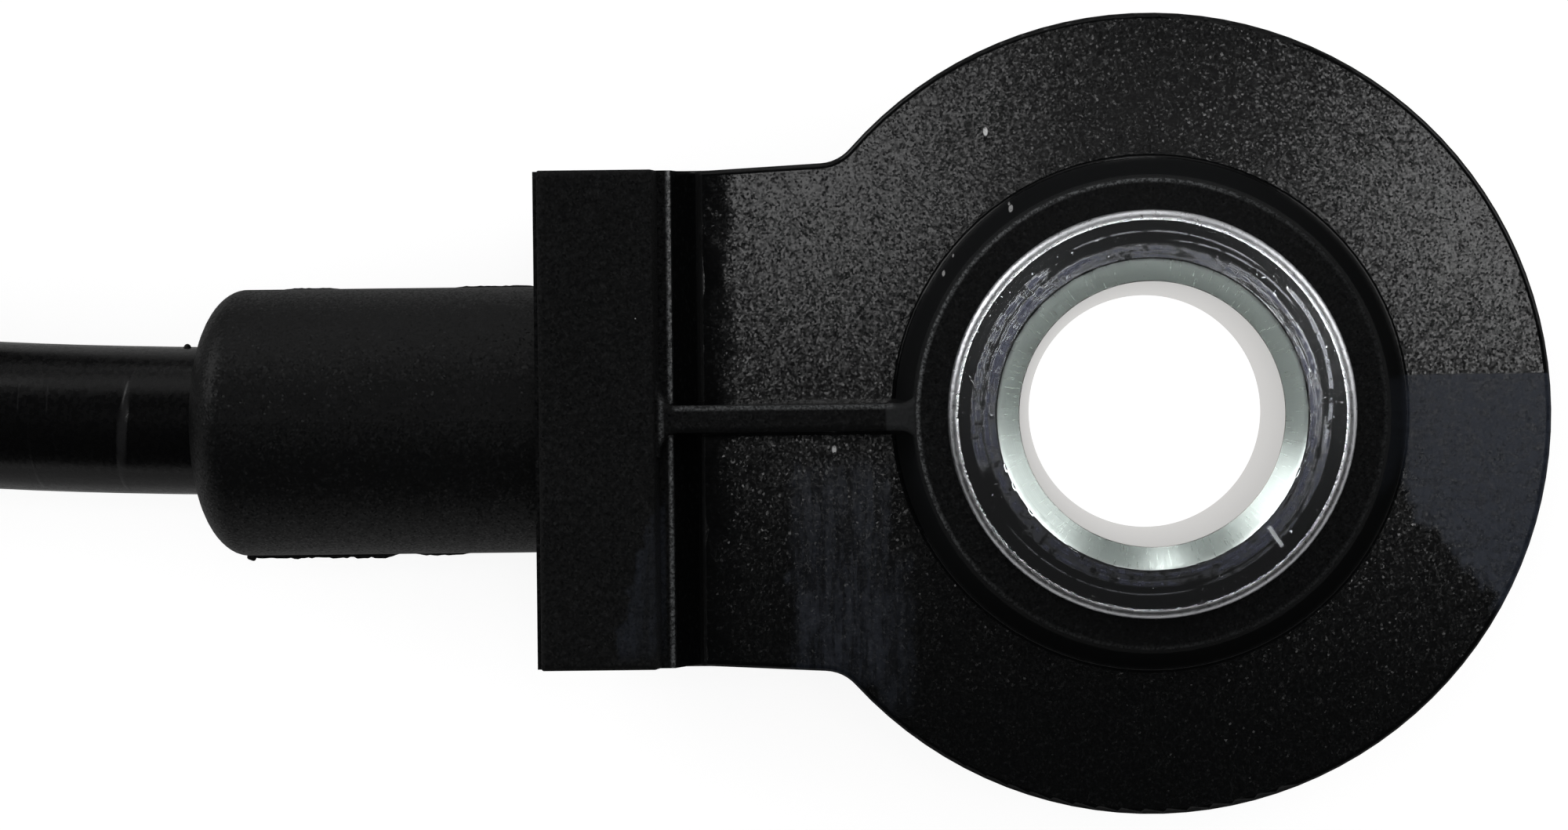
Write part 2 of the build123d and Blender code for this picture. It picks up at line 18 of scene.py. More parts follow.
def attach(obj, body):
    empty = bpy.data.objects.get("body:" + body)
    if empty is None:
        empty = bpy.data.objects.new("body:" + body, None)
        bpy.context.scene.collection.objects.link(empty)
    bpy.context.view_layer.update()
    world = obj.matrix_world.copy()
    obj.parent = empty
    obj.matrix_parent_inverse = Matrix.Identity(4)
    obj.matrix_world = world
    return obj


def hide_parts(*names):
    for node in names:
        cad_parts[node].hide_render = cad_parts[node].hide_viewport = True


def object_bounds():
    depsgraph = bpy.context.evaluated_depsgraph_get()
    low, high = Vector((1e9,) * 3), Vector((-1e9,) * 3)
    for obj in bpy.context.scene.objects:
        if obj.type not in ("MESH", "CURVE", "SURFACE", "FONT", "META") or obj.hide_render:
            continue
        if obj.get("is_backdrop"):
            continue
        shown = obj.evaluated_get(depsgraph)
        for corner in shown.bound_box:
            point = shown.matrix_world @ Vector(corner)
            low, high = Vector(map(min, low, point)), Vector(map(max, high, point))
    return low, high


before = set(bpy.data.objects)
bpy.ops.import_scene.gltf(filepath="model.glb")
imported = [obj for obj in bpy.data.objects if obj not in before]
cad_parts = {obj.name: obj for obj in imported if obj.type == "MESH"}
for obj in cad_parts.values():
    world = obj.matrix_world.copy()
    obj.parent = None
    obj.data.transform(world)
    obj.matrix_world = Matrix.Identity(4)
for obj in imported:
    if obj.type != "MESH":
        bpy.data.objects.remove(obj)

LOG = logging.getLogger("knock_sensor")
MM = 0.001
ROOT = "root"
MERGE_DISTANCE = 1e-7
Point = tuple[float, float, float]
Color = tuple[float, float, float]
Pair = tuple[float, float]
Triple = tuple[float, float, float]
Socket = bpy.types.NodeSocket
Node = bpy.types.Node
Tree = bpy.types.NodeTree
Finish = bpy.types.Material
Object = bpy.types.Object
WHITE: Color = (1.0, 1.0, 1.0)


class Slot(Enum):
    """The record's material slots that new pieces take their finish from."""

    HOUSING = "housing_plastic"
    STEEL = "zinc_plated_steel"
    SHEATH = "cable_sheath"
    BOOT = "boot_rubber"
    PLUG = "plug_plastic"


class Value:
    """A socket of a graph, which plain arithmetic joins to others with Math nodes."""

    def __init__(self, graph: "Graph", socket: Socket) -> None:
        """Keeps the graph and the output socket."""
        self.graph = graph
        self.socket = socket

    def __add__(self, other: object) -> "Value":
        """Adds another value or number."""
        return self.graph.math("ADD", self, other)

    def __sub__(self, other: object) -> "Value":
        """Takes another value or number away."""
        return self.graph.math("SUBTRACT", self, other)

    def __rsub__(self, other: object) -> "Value":
        """Takes this value away from a number."""
        return self.graph.math("SUBTRACT", other, self)

    def __mul__(self, other: object) -> "Value":
        """Multiplies by another value or number."""
        return self.graph.math("MULTIPLY", self, other)

    def __truediv__(self, other: object) -> "Value":
        """Divides by another value or number."""
        return self.graph.math("DIVIDE", self, other)

    def __rtruediv__(self, other: object) -> "Value":
        """Divides a number by this value."""
        return self.graph.math("DIVIDE", other, self)

    def __pow__(self, other: object) -> "Value":
        """Raises this value to a power."""
        return self.graph.math("POWER", self, other)

    def __abs__(self) -> "Value":
        """Drops the sign."""
        return self.graph.math("ABSOLUTE", self)


class Graph:
    """A node tree and the few calls that fill it."""

    def __init__(self, tree: Tree) -> None:
        """Keeps the shader or geometry node tree to fill."""
        self.tree = tree

    def set(self, socket: Socket, value: object) -> None:
        """Links an input socket to a value, or sets its plain number or colour.

        Args:
            socket: The input socket.
            value: A value, an output socket, a number, numbers, or None to leave it as it is.
        """
        value = value.socket if isinstance(value, Value) else value
        if isinstance(value, Socket):
            self.tree.links.new(value, socket)
        elif value is not None:
            socket.default_value = (*value, 1.0) if socket.type == "RGBA" else value

    def fill(self, node: Node, *values: object, **settings: object) -> Node:
        """Sets a node's properties and inputs.

        Args:
            node: The node.
            values: What its first inputs get, in their order.
            settings: Its properties, and its inputs under names that start with a capital letter.

        Returns:
            The same node.
        """
        for name, value in settings.items():
            if name[0].isupper():
                self.set(node.inputs[name.replace("_", " ")], value)
            else:
                setattr(node, name, value)
        for socket, value in zip(node.inputs, values):
            self.set(socket, value)
        return node

    def node(self, kind: str, *values: object, **settings: object) -> Node:
        """Adds a node of Blender's kind and fills it."""
        return self.fill(self.tree.nodes.new(kind), *values, **settings)

    def named(self, node: Node) -> dict[str, Value]:
        """Gives a node's outputs by name."""
        return {socket.name: Value(self, socket) for socket in node.outputs}

    def read(self, kind: str, *values: object, out: int | str = 0, **settings: object) -> Value:
        """Adds a node and gives one output by its number or name."""
        return Value(self, self.node(kind, *values, **settings).outputs[out])

    def math(self, operation: str, first: object, second: object = 0.0) -> Value:
        """Adds a Math node."""
        return self.read("ShaderNodeMath", first, second, operation=operation)

    def steer(self, operation: str, *values: object, **settings: object) -> Value:
        """Adds a Vector Math node."""
        return self.read("ShaderNodeVectorMath", *values, operation=operation, **settings)

    def highest(self, first: object, *others: object) -> Value:
        """Gives the highest of several numbers or values."""
        for value in others:
            first = self.math("MAXIMUM", first, value)
        return first

    def ramp(self, value: object, low: float, high: float, start: object = 0.0, end: object = 1.0) -> Value:
        """Maps a value smoothly from the range low to high onto start to end."""
        return self.read("ShaderNodeMapRange", value, low, high, start, end, interpolation_type="SMOOTHSTEP")

    def fall(self, value: object, low: float, high: float) -> Value:
        """Gives 1 below low and 0 above high."""
        return self.ramp(value, low, high, 1.0, 0.0)

    def within(self, value: object, low: float, high: float, soft: float) -> Value:
        """Gives 1 from low to high and 0 outside, each end as wide as twice soft."""
        return self.ramp(value, low - soft, low + soft) * self.fall(value, high - soft, high + soft)

    def mix(self, share: object, first: object, second: object) -> Value:
        """Mixes two colours by the share of the second."""
        return self.read("ShaderNodeMix", share, *[None] * 5, first, second, out=2, data_type="RGBA")

    def blend(self, share: object, first: object, second: object) -> Value:
        """Mixes two numbers by the share of the second."""
        return self.read("ShaderNodeMix", share, None, first, second, data_type="FLOAT")

    def vector(self, x: object, y: object, z: object) -> Value:
        """Joins three numbers into a vector."""
        return self.read("ShaderNodeCombineXYZ", x, y, z)

    def split(self, vector: Value) -> list[Value]:
        """Splits a vector into its three numbers."""
        return list(self.named(self.node("ShaderNodeSeparateXYZ", vector)).values())

    def distance(self, x: Value, y: Value) -> Value:
        """Gives a place's distance from the Z axis."""
        return self.math("SQRT", x * x + y * y)

    def noise(self, place: Value, scale: object, detail: float = 2.0, roughness: float = 0.5) -> Value:
        """Adds a Noise texture, read at a place."""
        return self.read("ShaderNodeTexNoise", Vector=place, Scale=scale, Detail=detail, Roughness=roughness)

    def cells(self, place: Value, scale: object) -> dict[str, Value]:
        """Adds a Voronoi texture of the nearest cell, read at a place."""
        return self.named(self.node("ShaderNodeTexVoronoi", feature="F1", Vector=place, Scale=scale))

    def place_mm(self) -> Value:
        """Gives the piece's own coordinates in millimetres."""
        return self.steer("SCALE", self.read("ShaderNodeTexCoord", out="Object"), Scale=1.0 / MM)


class EffectGroups:
    """Shader node groups that several finishes share, each built once."""

    def build(self) -> None:
        """Builds every group, for the finishes to find by name."""
        self.build_grain()
        self.build_scuffs()
        self.build_lint()
        self.build_craters()

    @staticmethod
    def start(name: str, *outputs: str, kind: str = "Float",
              **inputs: float) -> tuple[Graph, dict[str, Value]]:
        """Makes an empty group with its sockets.

        Args:
            name: The group's name.
            outputs: The names of its outputs.
            kind: Their kind, Float or Vector.
            inputs: Each input's default number by name.

        Returns:
            The group's graph and its inputs by name.
        """
        tree = bpy.data.node_groups.new(name, "ShaderNodeTree")
        for label, default in inputs.items():
            socket = tree.interface.new_socket(label, in_out="INPUT", socket_type="NodeSocketFloat")
            socket.default_value = default
        for label in outputs:
            tree.interface.new_socket(label, in_out="OUTPUT", socket_type=f"NodeSocket{kind}")
        graph = Graph(tree)
        return graph, graph.named(graph.node("NodeGroupInput"))

    def build_grain(self) -> None:
        """Builds the fine spark-eroded grain of a moulding tool."""
        graph, given = self.start("tool_grain", "Height", "Spark", Size=0.1, Pits=0.4)
        place = graph.place_mm()
        scale = 1.0 / given["Size"]
        fine = graph.noise(place, scale, 2.0, 0.6)
        pits = graph.cells(place, scale * 0.8)["Distance"]
        height = graph.blend(given["Pits"], fine, pits)
        graph.node("NodeGroupOutput", Height=height, Spark=graph.ramp(fine, 0.55, 0.72))

    def build_scuffs(self) -> None:
        """Builds short thin handling scratches that lie in all directions."""
        graph, given = self.start("handling_scuffs", "Mask", Spacing=1.2, Amount=0.5)
        place = graph.place_mm()
        scale = 1.0 / given["Spacing"]
        patch = graph.ramp(graph.noise(place, scale * 0.3), 0.5, 0.68)
        thin = graph.fall(abs(graph.noise(place, scale * 0.8, 3.0) - 0.5), 0.0, 0.006)
        graph.node("NodeGroupOutput", Mask=thin * patch * given["Amount"])

    def build_lint(self) -> None:
        """Builds scattered pale specks of dust."""
        graph, given = self.start("dust_specks", "Mask", Spacing=1.6, Speck=0.03)
        far = graph.cells(graph.place_mm(), 1.0 / given["Spacing"])["Distance"]
        graph.node("NodeGroupOutput", Mask=graph.math("LESS_THAN", far, given["Speck"] / given["Spacing"]))

    def build_craters(self) -> None:
        """Builds the glitter of a spark-eroded face, one small random tilt in each crater."""
        graph, given = self.start("crater_glitter", "Normal", kind="Vector", Size=0.1, Tilt=0.1)
        cells = graph.cells(graph.place_mm(), 1.0 / given["Size"])
        chance = graph.read("ShaderNodeTexWhiteNoise", out="Value", noise_dimensions="3D",
                            Vector=cells["Position"])
        reach = given["Tilt"] * (chance ** 2.0 * 1.5 + 0.5)
        tilt = graph.steer("SCALE", graph.steer("SUBTRACT", cells["Color"], (0.5, 0.5, 0.5)), Scale=reach)
        total = graph.steer("ADD", graph.read("ShaderNodeNewGeometry", out="Normal"), tilt)
        graph.node("NodeGroupOutput", Normal=graph.steer("NORMALIZE", total))


class Material:
    """A material with one Principled shader and its graph."""

    def __init__(self, name: str) -> None:
        """Starts the material.

        Args:
            name: The material's name.
        """
        self.data = bpy.data.materials.new(name)
        self.data.use_nodes = True
        self.graph = Graph(self.data.node_tree)
        self.shader = self.data.node_tree.nodes["Principled BSDF"]

    def use(self, group: str, **values: object) -> dict[str, Value]:
        """Places a shared effect group and gives its outputs by name."""
        tree = bpy.data.node_groups[group]
        return self.graph.named(self.graph.node("ShaderNodeGroup", node_tree=tree, **values))

    def bump(self, height: object, depth_mm: float, strength: object = 1.0,
             under: Value | None = None) -> Value:
        """Adds a Bump node: a height of 1 stands for depth_mm, and the relief lies on the normal under it."""
        return self.graph.read("ShaderNodeBump", Distance=depth_mm * MM, Strength=strength, Height=height,
                               Normal=under)

    def put(self, **sockets: object) -> None:
        """Sets or links the shader's sockets."""
        self.graph.fill(self.shader, **sockets)


class MarkedMaterial(Material):
    """A material whose marks lie at given places of its piece."""

    def __init__(self, name: str) -> None:
        """Starts the material and reads the piece's own coordinates in millimetres.

        Args:
            name: The material's name.
        """
        super().__init__(name)
        self.place = self.graph.place_mm()
        self.x, self.y, self.z = self.graph.split(self.place)
        self.radius = self.graph.distance(self.x, self.y)

    def box(self, **limits: Triple) -> Value:
        """Masks a box.

        Args:
            limits: For x, y, z or radius its two limits and the softness of its ends.

        Returns:
            The mask.
        """
        first, *others = (self.graph.within(getattr(self, name), *ends) for name, ends in limits.items())
        return math.prod(others, start=first)

    def sector(self, middle: float, half: float) -> Value:
        """Masks a sector round the Z axis.

        Args:
            middle: The angle of its middle in degrees.
            half: Half its width in degrees.

        Returns:
            The mask.
        """
        turn = math.radians(middle)
        low, high = (math.cos(math.radians(half + soft)) for soft in (5.0, -5.0))
        return self.graph.ramp((self.x * math.cos(turn) + self.y * math.sin(turn)) / self.radius, low, high)

    def arc(self, center: Pair, radius: float, width: float) -> Value:
        """Masks a thin ring round its own centre, as wide as twice width."""
        away = self.graph.distance(self.x - center[0], self.y - center[1])
        return self.graph.within(away, radius - width, radius + width, 0.03)


@dataclass(frozen=True)
class MouldedPlastic:
    """Plain plastic moulded in a spark-eroded tool."""

    name: str
    dark: Color
    light: Color
    roughness: float
    grain_mm: float = 0.12
    grain_depth_mm: float = 0.012

    def make(self) -> Finish:
        """Builds the material.

        Returns:
            The material.
        """
        made = Material(self.name)
        grain = made.use("tool_grain", Size=self.grain_mm, Pits=0.45)
        scuffs = made.use("handling_scuffs", Spacing=2.0, Amount=0.4)["Mask"]
        tone = made.graph.highest(grain["Spark"] * 0.6, scuffs)
        made.put(Base_Color=made.graph.mix(tone, self.dark, self.light),
                 Roughness=self.roughness - scuffs * 0.12,
                 Normal=made.bump(grain["Height"], self.grain_depth_mm))
        return made.data


@dataclass(frozen=True)
class WorkedMetal:
    """Metal with fine marks left by punching, drawing or turning."""

    name: str
    dark: Color
    light: Color
    roughness: float
    grain_mm: float = 0.3

    def make(self) -> Finish:
        """Builds the material.

        Returns:
            The material.
        """
        made = Material(self.name)
        graph = made.graph
        scuffs = made.use("handling_scuffs", Spacing=1.0, Amount=0.8)["Mask"]
        cloud = graph.noise(graph.place_mm(), 1.0 / self.grain_mm, 4.0)
        tone = graph.highest(graph.ramp(cloud, 0.35, 0.7), scuffs)
        made.put(Base_Color=graph.mix(tone, self.dark, self.light), Roughness=tone * 0.12 + self.roughness,
                 Normal=made.bump(cloud, 0.004), Metallic=1.0)
        return made.data


@dataclass(frozen=True)
class HousingPlastic:
    """The housing's black polyamide: satin plate, coarse raised tops, its handling marks, and painted
    highlights on some edges and on one side of the collar's slope.
    """

    name: str = "housing_black_polyamide"
    black: Color = (0.0016, 0.0017, 0.0018)
    # Tone for grain and scuffs, and also for the painted lit side of the collar's slope.
    worn_and_lit: Color = (0.010, 0.0105, 0.011)
    # Painted highlight colour for the edges that catch the light.
    painted_edge_highlight: Color = (0.075, 0.078, 0.080)
    film: Color = (0.0150, 0.0180, 0.0255)
    nick: Color = (0.42, 0.42, 0.42)
    plate_roughness: float = 0.160
    coarse_roughness: float = 0.72
    boss_roughness: float = 0.46
    slope_roughness: float = 0.30
    dull_roughness: float = 0.7
    gloss_level: float = 0.215
    crater_mm: float = 0.065
    crater_tilt: float = 0.058
    boss_tilt: float = 0.32
    coarse_tilt: float = 0.60
    block_x_mm: Triple = (-19.9, -15.45, 0.05)
    block_y_mm: Triple = (-8.6, 8.6, 0.1)
    raised_z_mm: Pair = (16.2, 16.55)
    boss_x_mm: Pair = (-19.95, -19.85)
    slope_z_mm: Triple = (13.9, 16.75, 0.04)
    slope_radius_mm: Pair = (8.4, 8.5)
    wall_x_mm: Pair = (-14.4, -14.2)
    wall_z_mm: Pair = (13.70, 13.78)
    foot_x_mm: Triple = (-14.70, -14.54, 0.05)
    foot_y_mm: Triple = (-8.3, 8.3, 0.1)
    foot_z_mm: Pair = (14.3, 14.5)
    hollow_start_mm: float = -13.35
    hollow_reach_mm: float = 1.2
    hollow_z_mm: Pair = (13.85, 13.9)
    parting_mm: float = 9.0
    seam_half_mm: float = 0.06
    chips_mm: tuple[tuple[Point, float], ...] = (
        ((-5.27, 9.24, 13.8), 0.17), ((-4.45, 6.67, 15.3), 0.17), ((-4.52, 6.86, 15.0), 0.09),
        ((-6.65, 4.61, 15.3), 0.13), ((-6.35, 5.2, 15.4), 0.10), ((-10.31, -1.07, 13.8), 0.16),
    )

    def make(self) -> Finish:
        """Builds the material.

        Returns:
            The material.
        """
        made = MarkedMaterial(self.name)
        graph, place, x, z = made.graph, made.place, made.x, made.z
        block = made.box(x=self.block_x_mm, y=self.block_y_mm)
        coarse = graph.highest(block, graph.ramp(z, *self.raised_z_mm))
        boss = graph.fall(x, *self.boss_x_mm)
        slope = made.box(z=self.slope_z_mm) * graph.fall(made.radius, *self.slope_radius_mm)
        film = self.film_mask(made)

        fine = made.use("tool_grain", Size=0.15, Pits=0.35)
        tilt = graph.blend(coarse, graph.blend(boss, self.crater_tilt, self.boss_tilt), self.coarse_tilt)
        tilt = tilt * graph.blend(slope, 1.0, 0.4)
        glitter = made.use("crater_glitter", Size=self.crater_mm, Tilt=tilt)["Normal"]
        rough = made.use("tool_grain", Size=0.20, Pits=0.5)
        scuffs = made.use("handling_scuffs", Spacing=2.6, Amount=0.5)["Mask"]
        lint = made.use("dust_specks", Spacing=2.3, Speck=0.022)["Mask"]

        # Painted light: the collar's slope is drawn paler towards -X and +Y, the side that the lamps light.
        side = slope * graph.ramp(made.y - x, -4.0, 7.0, 0.25, 0.95)
        tone = graph.highest(fine["Spark"] * 0.35, scuffs * 0.7, side)
        color = graph.mix(tone, self.black, self.worn_and_lit)
        # Painted highlight along the collar, ledge, block and rib edges.
        color = graph.mix(self.edge_highlight_mask(made), color, self.painted_edge_highlight)
        color = graph.mix(film, color, self.film)
        color = graph.mix(graph.highest(self.chip_mask(made), lint * 0.5), color, self.nick)

        surface = graph.blend(boss, self.plate_roughness, self.boss_roughness)
        surface = graph.blend(slope, surface, self.slope_roughness)
        surface = graph.blend(coarse, surface, self.coarse_roughness) + film * 0.16
        wall = graph.fall(z, *self.wall_z_mm) * graph.ramp(x, *self.wall_x_mm)
        foot = made.box(x=self.foot_x_mm, y=self.foot_y_mm) * graph.fall(z, *self.foot_z_mm)
        surface = graph.blend(graph.highest(wall, foot), surface, self.dull_roughness)

        normal = made.bump(fine["Height"], 0.0009, graph.blend(slope, 1.0, 0.35), glitter)
        normal = made.bump(rough["Height"], 0.05, coarse, normal)
        inward = self.hollow_start_mm - x + (graph.noise(place, 0.6, 2.0) - 0.5) * 0.7
        inward = graph.highest(graph.math("MINIMUM", inward, self.hollow_reach_mm), 0.0)
        hollow = inward * inward * graph.ramp(z, *self.hollow_z_mm, -1.0, 0.0)
        normal = made.bump(hollow, 0.042, 1.0, normal)
        seam = graph.fall(abs(z - self.parting_mm), 0.0, self.seam_half_mm)
        normal = made.bump(seam, 0.03, 1.0, normal)
        made.put(Base_Color=color, Roughness=surface, Normal=normal, Specular_IOR_Level=self.gloss_level)
        return made.data

    @staticmethod
    def edge_highlight_mask(made: MarkedMaterial) -> Value:
        """Masks the edges that get a painted highlight, strongest on the collar's side towards -X and +Y.

        Args:
            made: The material.

        Returns:
            The mask.
        """
        graph, z = made.graph, made.z
        facing = (made.x * -0.7 + made.y * 0.71) / made.radius
        collar = (made.box(radius=(7.38, 7.50, 0.06)) * graph.ramp(z, 16.6, 16.75)
                  * graph.ramp(facing, -0.2, 0.9, 0.12, 1.0))
        across = (-8.1, 8.1, 0.1)
        ledge = made.box(x=(-15.46, -15.34, 0.06), z=(15.4, 16.0, 0.1), y=across)
        block = made.box(x=(-15.66, -15.54, 0.06), y=across) * graph.ramp(z, 16.1, 16.3, 0.0, 0.6)
        rib = made.box(y=(0.28, 0.42, 0.06), x=(-15.2, -8.2, 0.1)) * graph.ramp(z, 16.3, 16.5, 0.0, 0.8)
        broken = graph.ramp(graph.noise(made.place, 12.0, 4.0, 0.7), 0.42, 0.60, 0.15, 1.0)
        return graph.highest(collar, ledge, block, rib) * broken

    @staticmethod
    def film_mask(made: MarkedMaterial) -> Value:
        """Masks the bluish wiped films that the top carries.

        Args:
            made: The material.

        Returns:
            The mask.
        """
        graph, x, y = made.graph, made.x, made.y
        edge = graph.noise(made.place, 1.7, 4.0) - 0.5
        near_x = x + edge * 1.1
        near_y = y + edge * 0.88
        streaks = graph.noise(graph.vector(x * 3.2, y * 0.35, 0.0), 1.0, 4.0, 0.65)
        cross = graph.noise(graph.vector(x * 0.5, y * 4.0, 0.0), 1.0, 4.0, 0.65)

        right = (graph.fall(y + edge * 0.12, 1.12, 1.20) * graph.ramp(x, 8.0, 8.5)
                 * graph.ramp(near_x * 0.76 + near_y * 0.65, 4.25, 4.75)
                 * graph.ramp(cross, 0.25, 0.6, 0.72, 1.0))
        left = graph.within(near_x, -11.75, -8.6, 0.18) * graph.within(near_y, -8.7, -1.5, 0.35)
        tail = graph.within(near_x, -8.9, -7.9, 0.25) * graph.within(near_y, -9.6, -4.6, 0.4)
        corner = made.box(x=(-17.4, -15.6, 0.05), y=(-7.5, -2.4, 0.3))
        corner = corner * graph.ramp(near_x + y * -0.28, -15.15, -14.95)
        streaked = (mask * graph.ramp(streaks, 0.36, 0.62, low, high)
                    for mask, low, high in ((left, 0.10, 0.50), (tail, 0.08, 0.32), (corner, 0.12, 0.36)))
        mottle = graph.ramp(graph.noise(made.place, 3.5, 5.0, 0.7), 0.34, 0.66, 0.55, 1.12)
        return graph.highest(right, *streaked) * graph.ramp(made.z, 13.5, 13.7) * mottle

    def chip_mask(self, made: MarkedMaterial) -> Value:
        """Masks the few small pale nicks of the top.

        Args:
            made: The material.

        Returns:
            The mask.
        """
        graph = made.graph
        masks = []
        for spot, size in self.chips_mm:
            offset = graph.steer("MULTIPLY", graph.steer("SUBTRACT", made.place, spot), (1.9, 1.0, 0.05))
            masks.append(graph.fall(graph.steer("LENGTH", offset, out="Value"), size * 0.6, size))
        return graph.highest(*masks) * graph.ramp(graph.noise(made.place, 9.0, 3.0), 0.30, 0.46)


@dataclass(frozen=True)
class SleeveSteel:
    """Bright zinc plate on the turned sleeve: mirror ring, scuffed tracks, satin chamfer, pale bore."""

    name: str = "zinc_plated_turned_steel"
    mirror: Color = (0.63, 0.65, 0.67)
    scuffed: Color = (0.070, 0.074, 0.096)
    chamfer: Color = (0.70, 0.775, 0.745)
    # Painted highlight: the rim's colour is paler than the plate's so that its highlight comes out brighter.
    rim: Color = (0.90, 0.91, 0.94)
    bore: Color = (0.44, 0.425, 0.405)
    face_mm: Triple = (4.95, 6.2, 0.04)
    face_z_mm: Pair = (17.9, 17.95)
    mouth_mm: Triple = (4.22, 4.9, 0.015)
    mouth_z_mm: Pair = (17.25, 17.3)
    wall_mm: Pair = (4.21, 4.23)
    inner_track_mm: Triple = (4.9, 5.32, 0.12)
    rim_mm: Pair = (6.14, 6.20)
    worn_edge_mm: Pair = (6.08, 6.20)
    wide_scuffs: tuple[Triple, ...] = (
        (162.0, 34.0, 5.72), (-38.0, 34.0, 5.62), (-110.0, 28.0, 5.45),
    )
    arcs: tuple[tuple[Pair, float, float, float, float], ...] = (
        ((0.71, 0.54), 4.91, 0.055, 14.0, 25.0), ((0.30, 0.25), 5.22, 0.018, 60.0, 20.0),
        ((-0.1, -0.05), 5.62, 0.015, -110.0, 30.0), ((0.0, 0.1), 5.66, 0.014, 85.0, 30.0),
    )

    def make(self) -> Finish:
        """Builds the material.

        Returns:
            The material.
        """
        made = MarkedMaterial(self.name)
        graph, place, radius = made.graph, made.place, made.radius
        across, along = made.x / radius, made.y / radius
        tracks = graph.noise(graph.vector(across * 1.1, along * 1.1, radius * 7.0), 1.0, 5.0, 0.62)
        turning = graph.noise(graph.vector(across, along, radius * 34.0), 1.0, 2.0)
        chatter = graph.noise(graph.vector(across * 75.0, along * 75.0, radius * 2.0), 1.0, 3.0, 0.6)
        dents = graph.noise(place, 5.0, 5.0, 0.65)
        blots = graph.noise(place, 3.2, 5.0, 0.7)

        face = made.box(radius=self.face_mm) * graph.ramp(made.z, *self.face_z_mm)
        mouth = made.box(radius=self.mouth_mm) * graph.ramp(made.z, *self.mouth_z_mm)
        wall = graph.fall(radius, *self.wall_mm)
        rim = graph.ramp(radius, *self.rim_mm)
        inner = made.box(radius=self.inner_track_mm) * graph.ramp(tracks, 0.30, 0.62)
        inner = inner * graph.ramp(blots, 0.30, 0.60)
        wide = graph.highest(*(made.sector(middle, half) * made.box(radius=(5.0, out, 0.03))
                               for middle, half, out in self.wide_scuffs))
        wide = wide * graph.ramp(tracks, 0.32, 0.62) * graph.ramp(blots, 0.34, 0.60)
        arcs = graph.highest(*(made.arc(center, out, width) * made.sector(middle, half)
                               for center, out, width, middle, half in self.arcs))
        arcs = arcs * graph.ramp(blots, 0.40, 0.48)
        scratch = (graph.within(made.x * 0.823 + made.y * 0.568, 0.86, 1.0, 0.04)
                   * graph.within(made.x * 0.568 - made.y * 0.823, 4.98, 5.75, 0.05))
        scuff = face * graph.highest(inner, wide, arcs, scratch)
        glint = face * graph.ramp(dents, 0.62, 0.72) * 0.5

        color = graph.mix(graph.ramp(scuff, 0.0, 0.62), self.mirror, self.scuffed)
        color = graph.mix(face * graph.highest(arcs * 0.38, scratch * 0.8), color, self.mirror)
        surface = graph.blend(graph.highest(scuff, glint), 0.055, 0.30)
        # The rim's paler colour is a painted highlight.
        for mask, tone, roughness in ((rim, self.rim, graph.ramp(dents, 0.35, 0.65, 0.27, 0.40)),
                                      (mouth, self.chamfer, graph.ramp(chatter, 0.3, 0.7, 0.27, 0.33)),
                                      (wall, self.bore, 0.30)):
            color = graph.mix(mask, color, tone)
            surface = graph.blend(mask, surface, roughness)
        normal = made.bump(turning, 0.0004)
        worn_edge = graph.highest(graph.ramp(radius, *self.worn_edge_mm), glint)
        for height, depth_mm, strength in ((tracks, 0.006, scuff), (chatter, 0.0018, mouth),
                                           (turning, 0.002, mouth), (dents, 0.026, worn_edge)):
            normal = made.bump(height, depth_mm, strength, normal)
        made.put(Base_Color=color, Roughness=surface, Normal=normal, Metallic=1.0)
        return made.data


@dataclass(frozen=True)
class SheathPlastic:
    """The cable's smooth, slightly nicked black sheath, with a painted glint on the nicks that cross its lit
    band.
    """

    name: str = "cable_black_sheath"
    black: Color = (0.0014, 0.0014, 0.0015)
    # Tone for nicks, scuffs and dust, and also for the painted glint of the nicks in the lit band.
    worn_and_lit: Color = (0.014, 0.014, 0.0145)
    roughness: float = 0.22
    gloss_level: float = 0.3
    cut_half_mm: float = 0.02
    # Real nicks, painted paler only across the lit band on the +Y side, as a glint.
    cuts_and_glints_mm: tuple[tuple[float, float, float, float], ...] = (
        (-38.65, 0.3, 1.5, 1.0), (-37.67, 0.5, 1.4, 0.8), (-36.69, 0.4, 1.3, 0.9), (-34.14, 0.5, 1.6, 0.6),
        (-40.2, 0.6, 1.2, 0.5), (-35.3, 0.9, 1.4, 0.5),
    )

    def make(self, length_mm: float) -> Finish:
        """Builds the material.

        Args:
            length_mm: The cable's whole length, which its UV map counts as 1.

        Returns:
            The material.
        """
        made = MarkedMaterial(self.name)
        graph = made.graph
        u, v, _ = graph.split(graph.read("ShaderNodeTexCoord", out="UV"))
        run = u * length_mm
        nick = graph.ramp(graph.noise(graph.vector(run * 2.2, v * 1.2, 0.0), 1.0, 2.0, 0.7), 0.62, 0.68)
        ripple = graph.noise(graph.vector(run * 0.25, v * 2.0, 3.0), 1.0, 2.0)
        skin = graph.noise(made.place, 6.0, 4.0)
        edge = self.cut_half_mm
        # Painted glint: the nicks are drawn pale only where they cross the lit band.
        cuts_and_glints = graph.highest(*(made.box(x=(at - edge, at + edge, edge), y=(low, high, 0.15)) * share
                               for at, low, high, share in self.cuts_and_glints_mm))
        scuffs = made.use("handling_scuffs", Spacing=1.6, Amount=0.6)["Mask"]
        lint = made.use("dust_specks", Spacing=2.6, Speck=0.03)["Mask"]
        tone = graph.highest(nick * 0.5, scuffs, lint * 0.8, cuts_and_glints * 0.5)
        normal = made.bump(skin, 0.006, 1.0, made.bump(ripple, 0.10))
        made.put(Base_Color=graph.mix(tone, self.black, self.worn_and_lit), Normal=made.bump(nick, 0.02, 1.0, normal),
                 Roughness=graph.ramp(skin, 0.3, 0.7, self.roughness, self.roughness + 0.1),
                 Specular_IOR_Level=self.gloss_level)
        return made.data


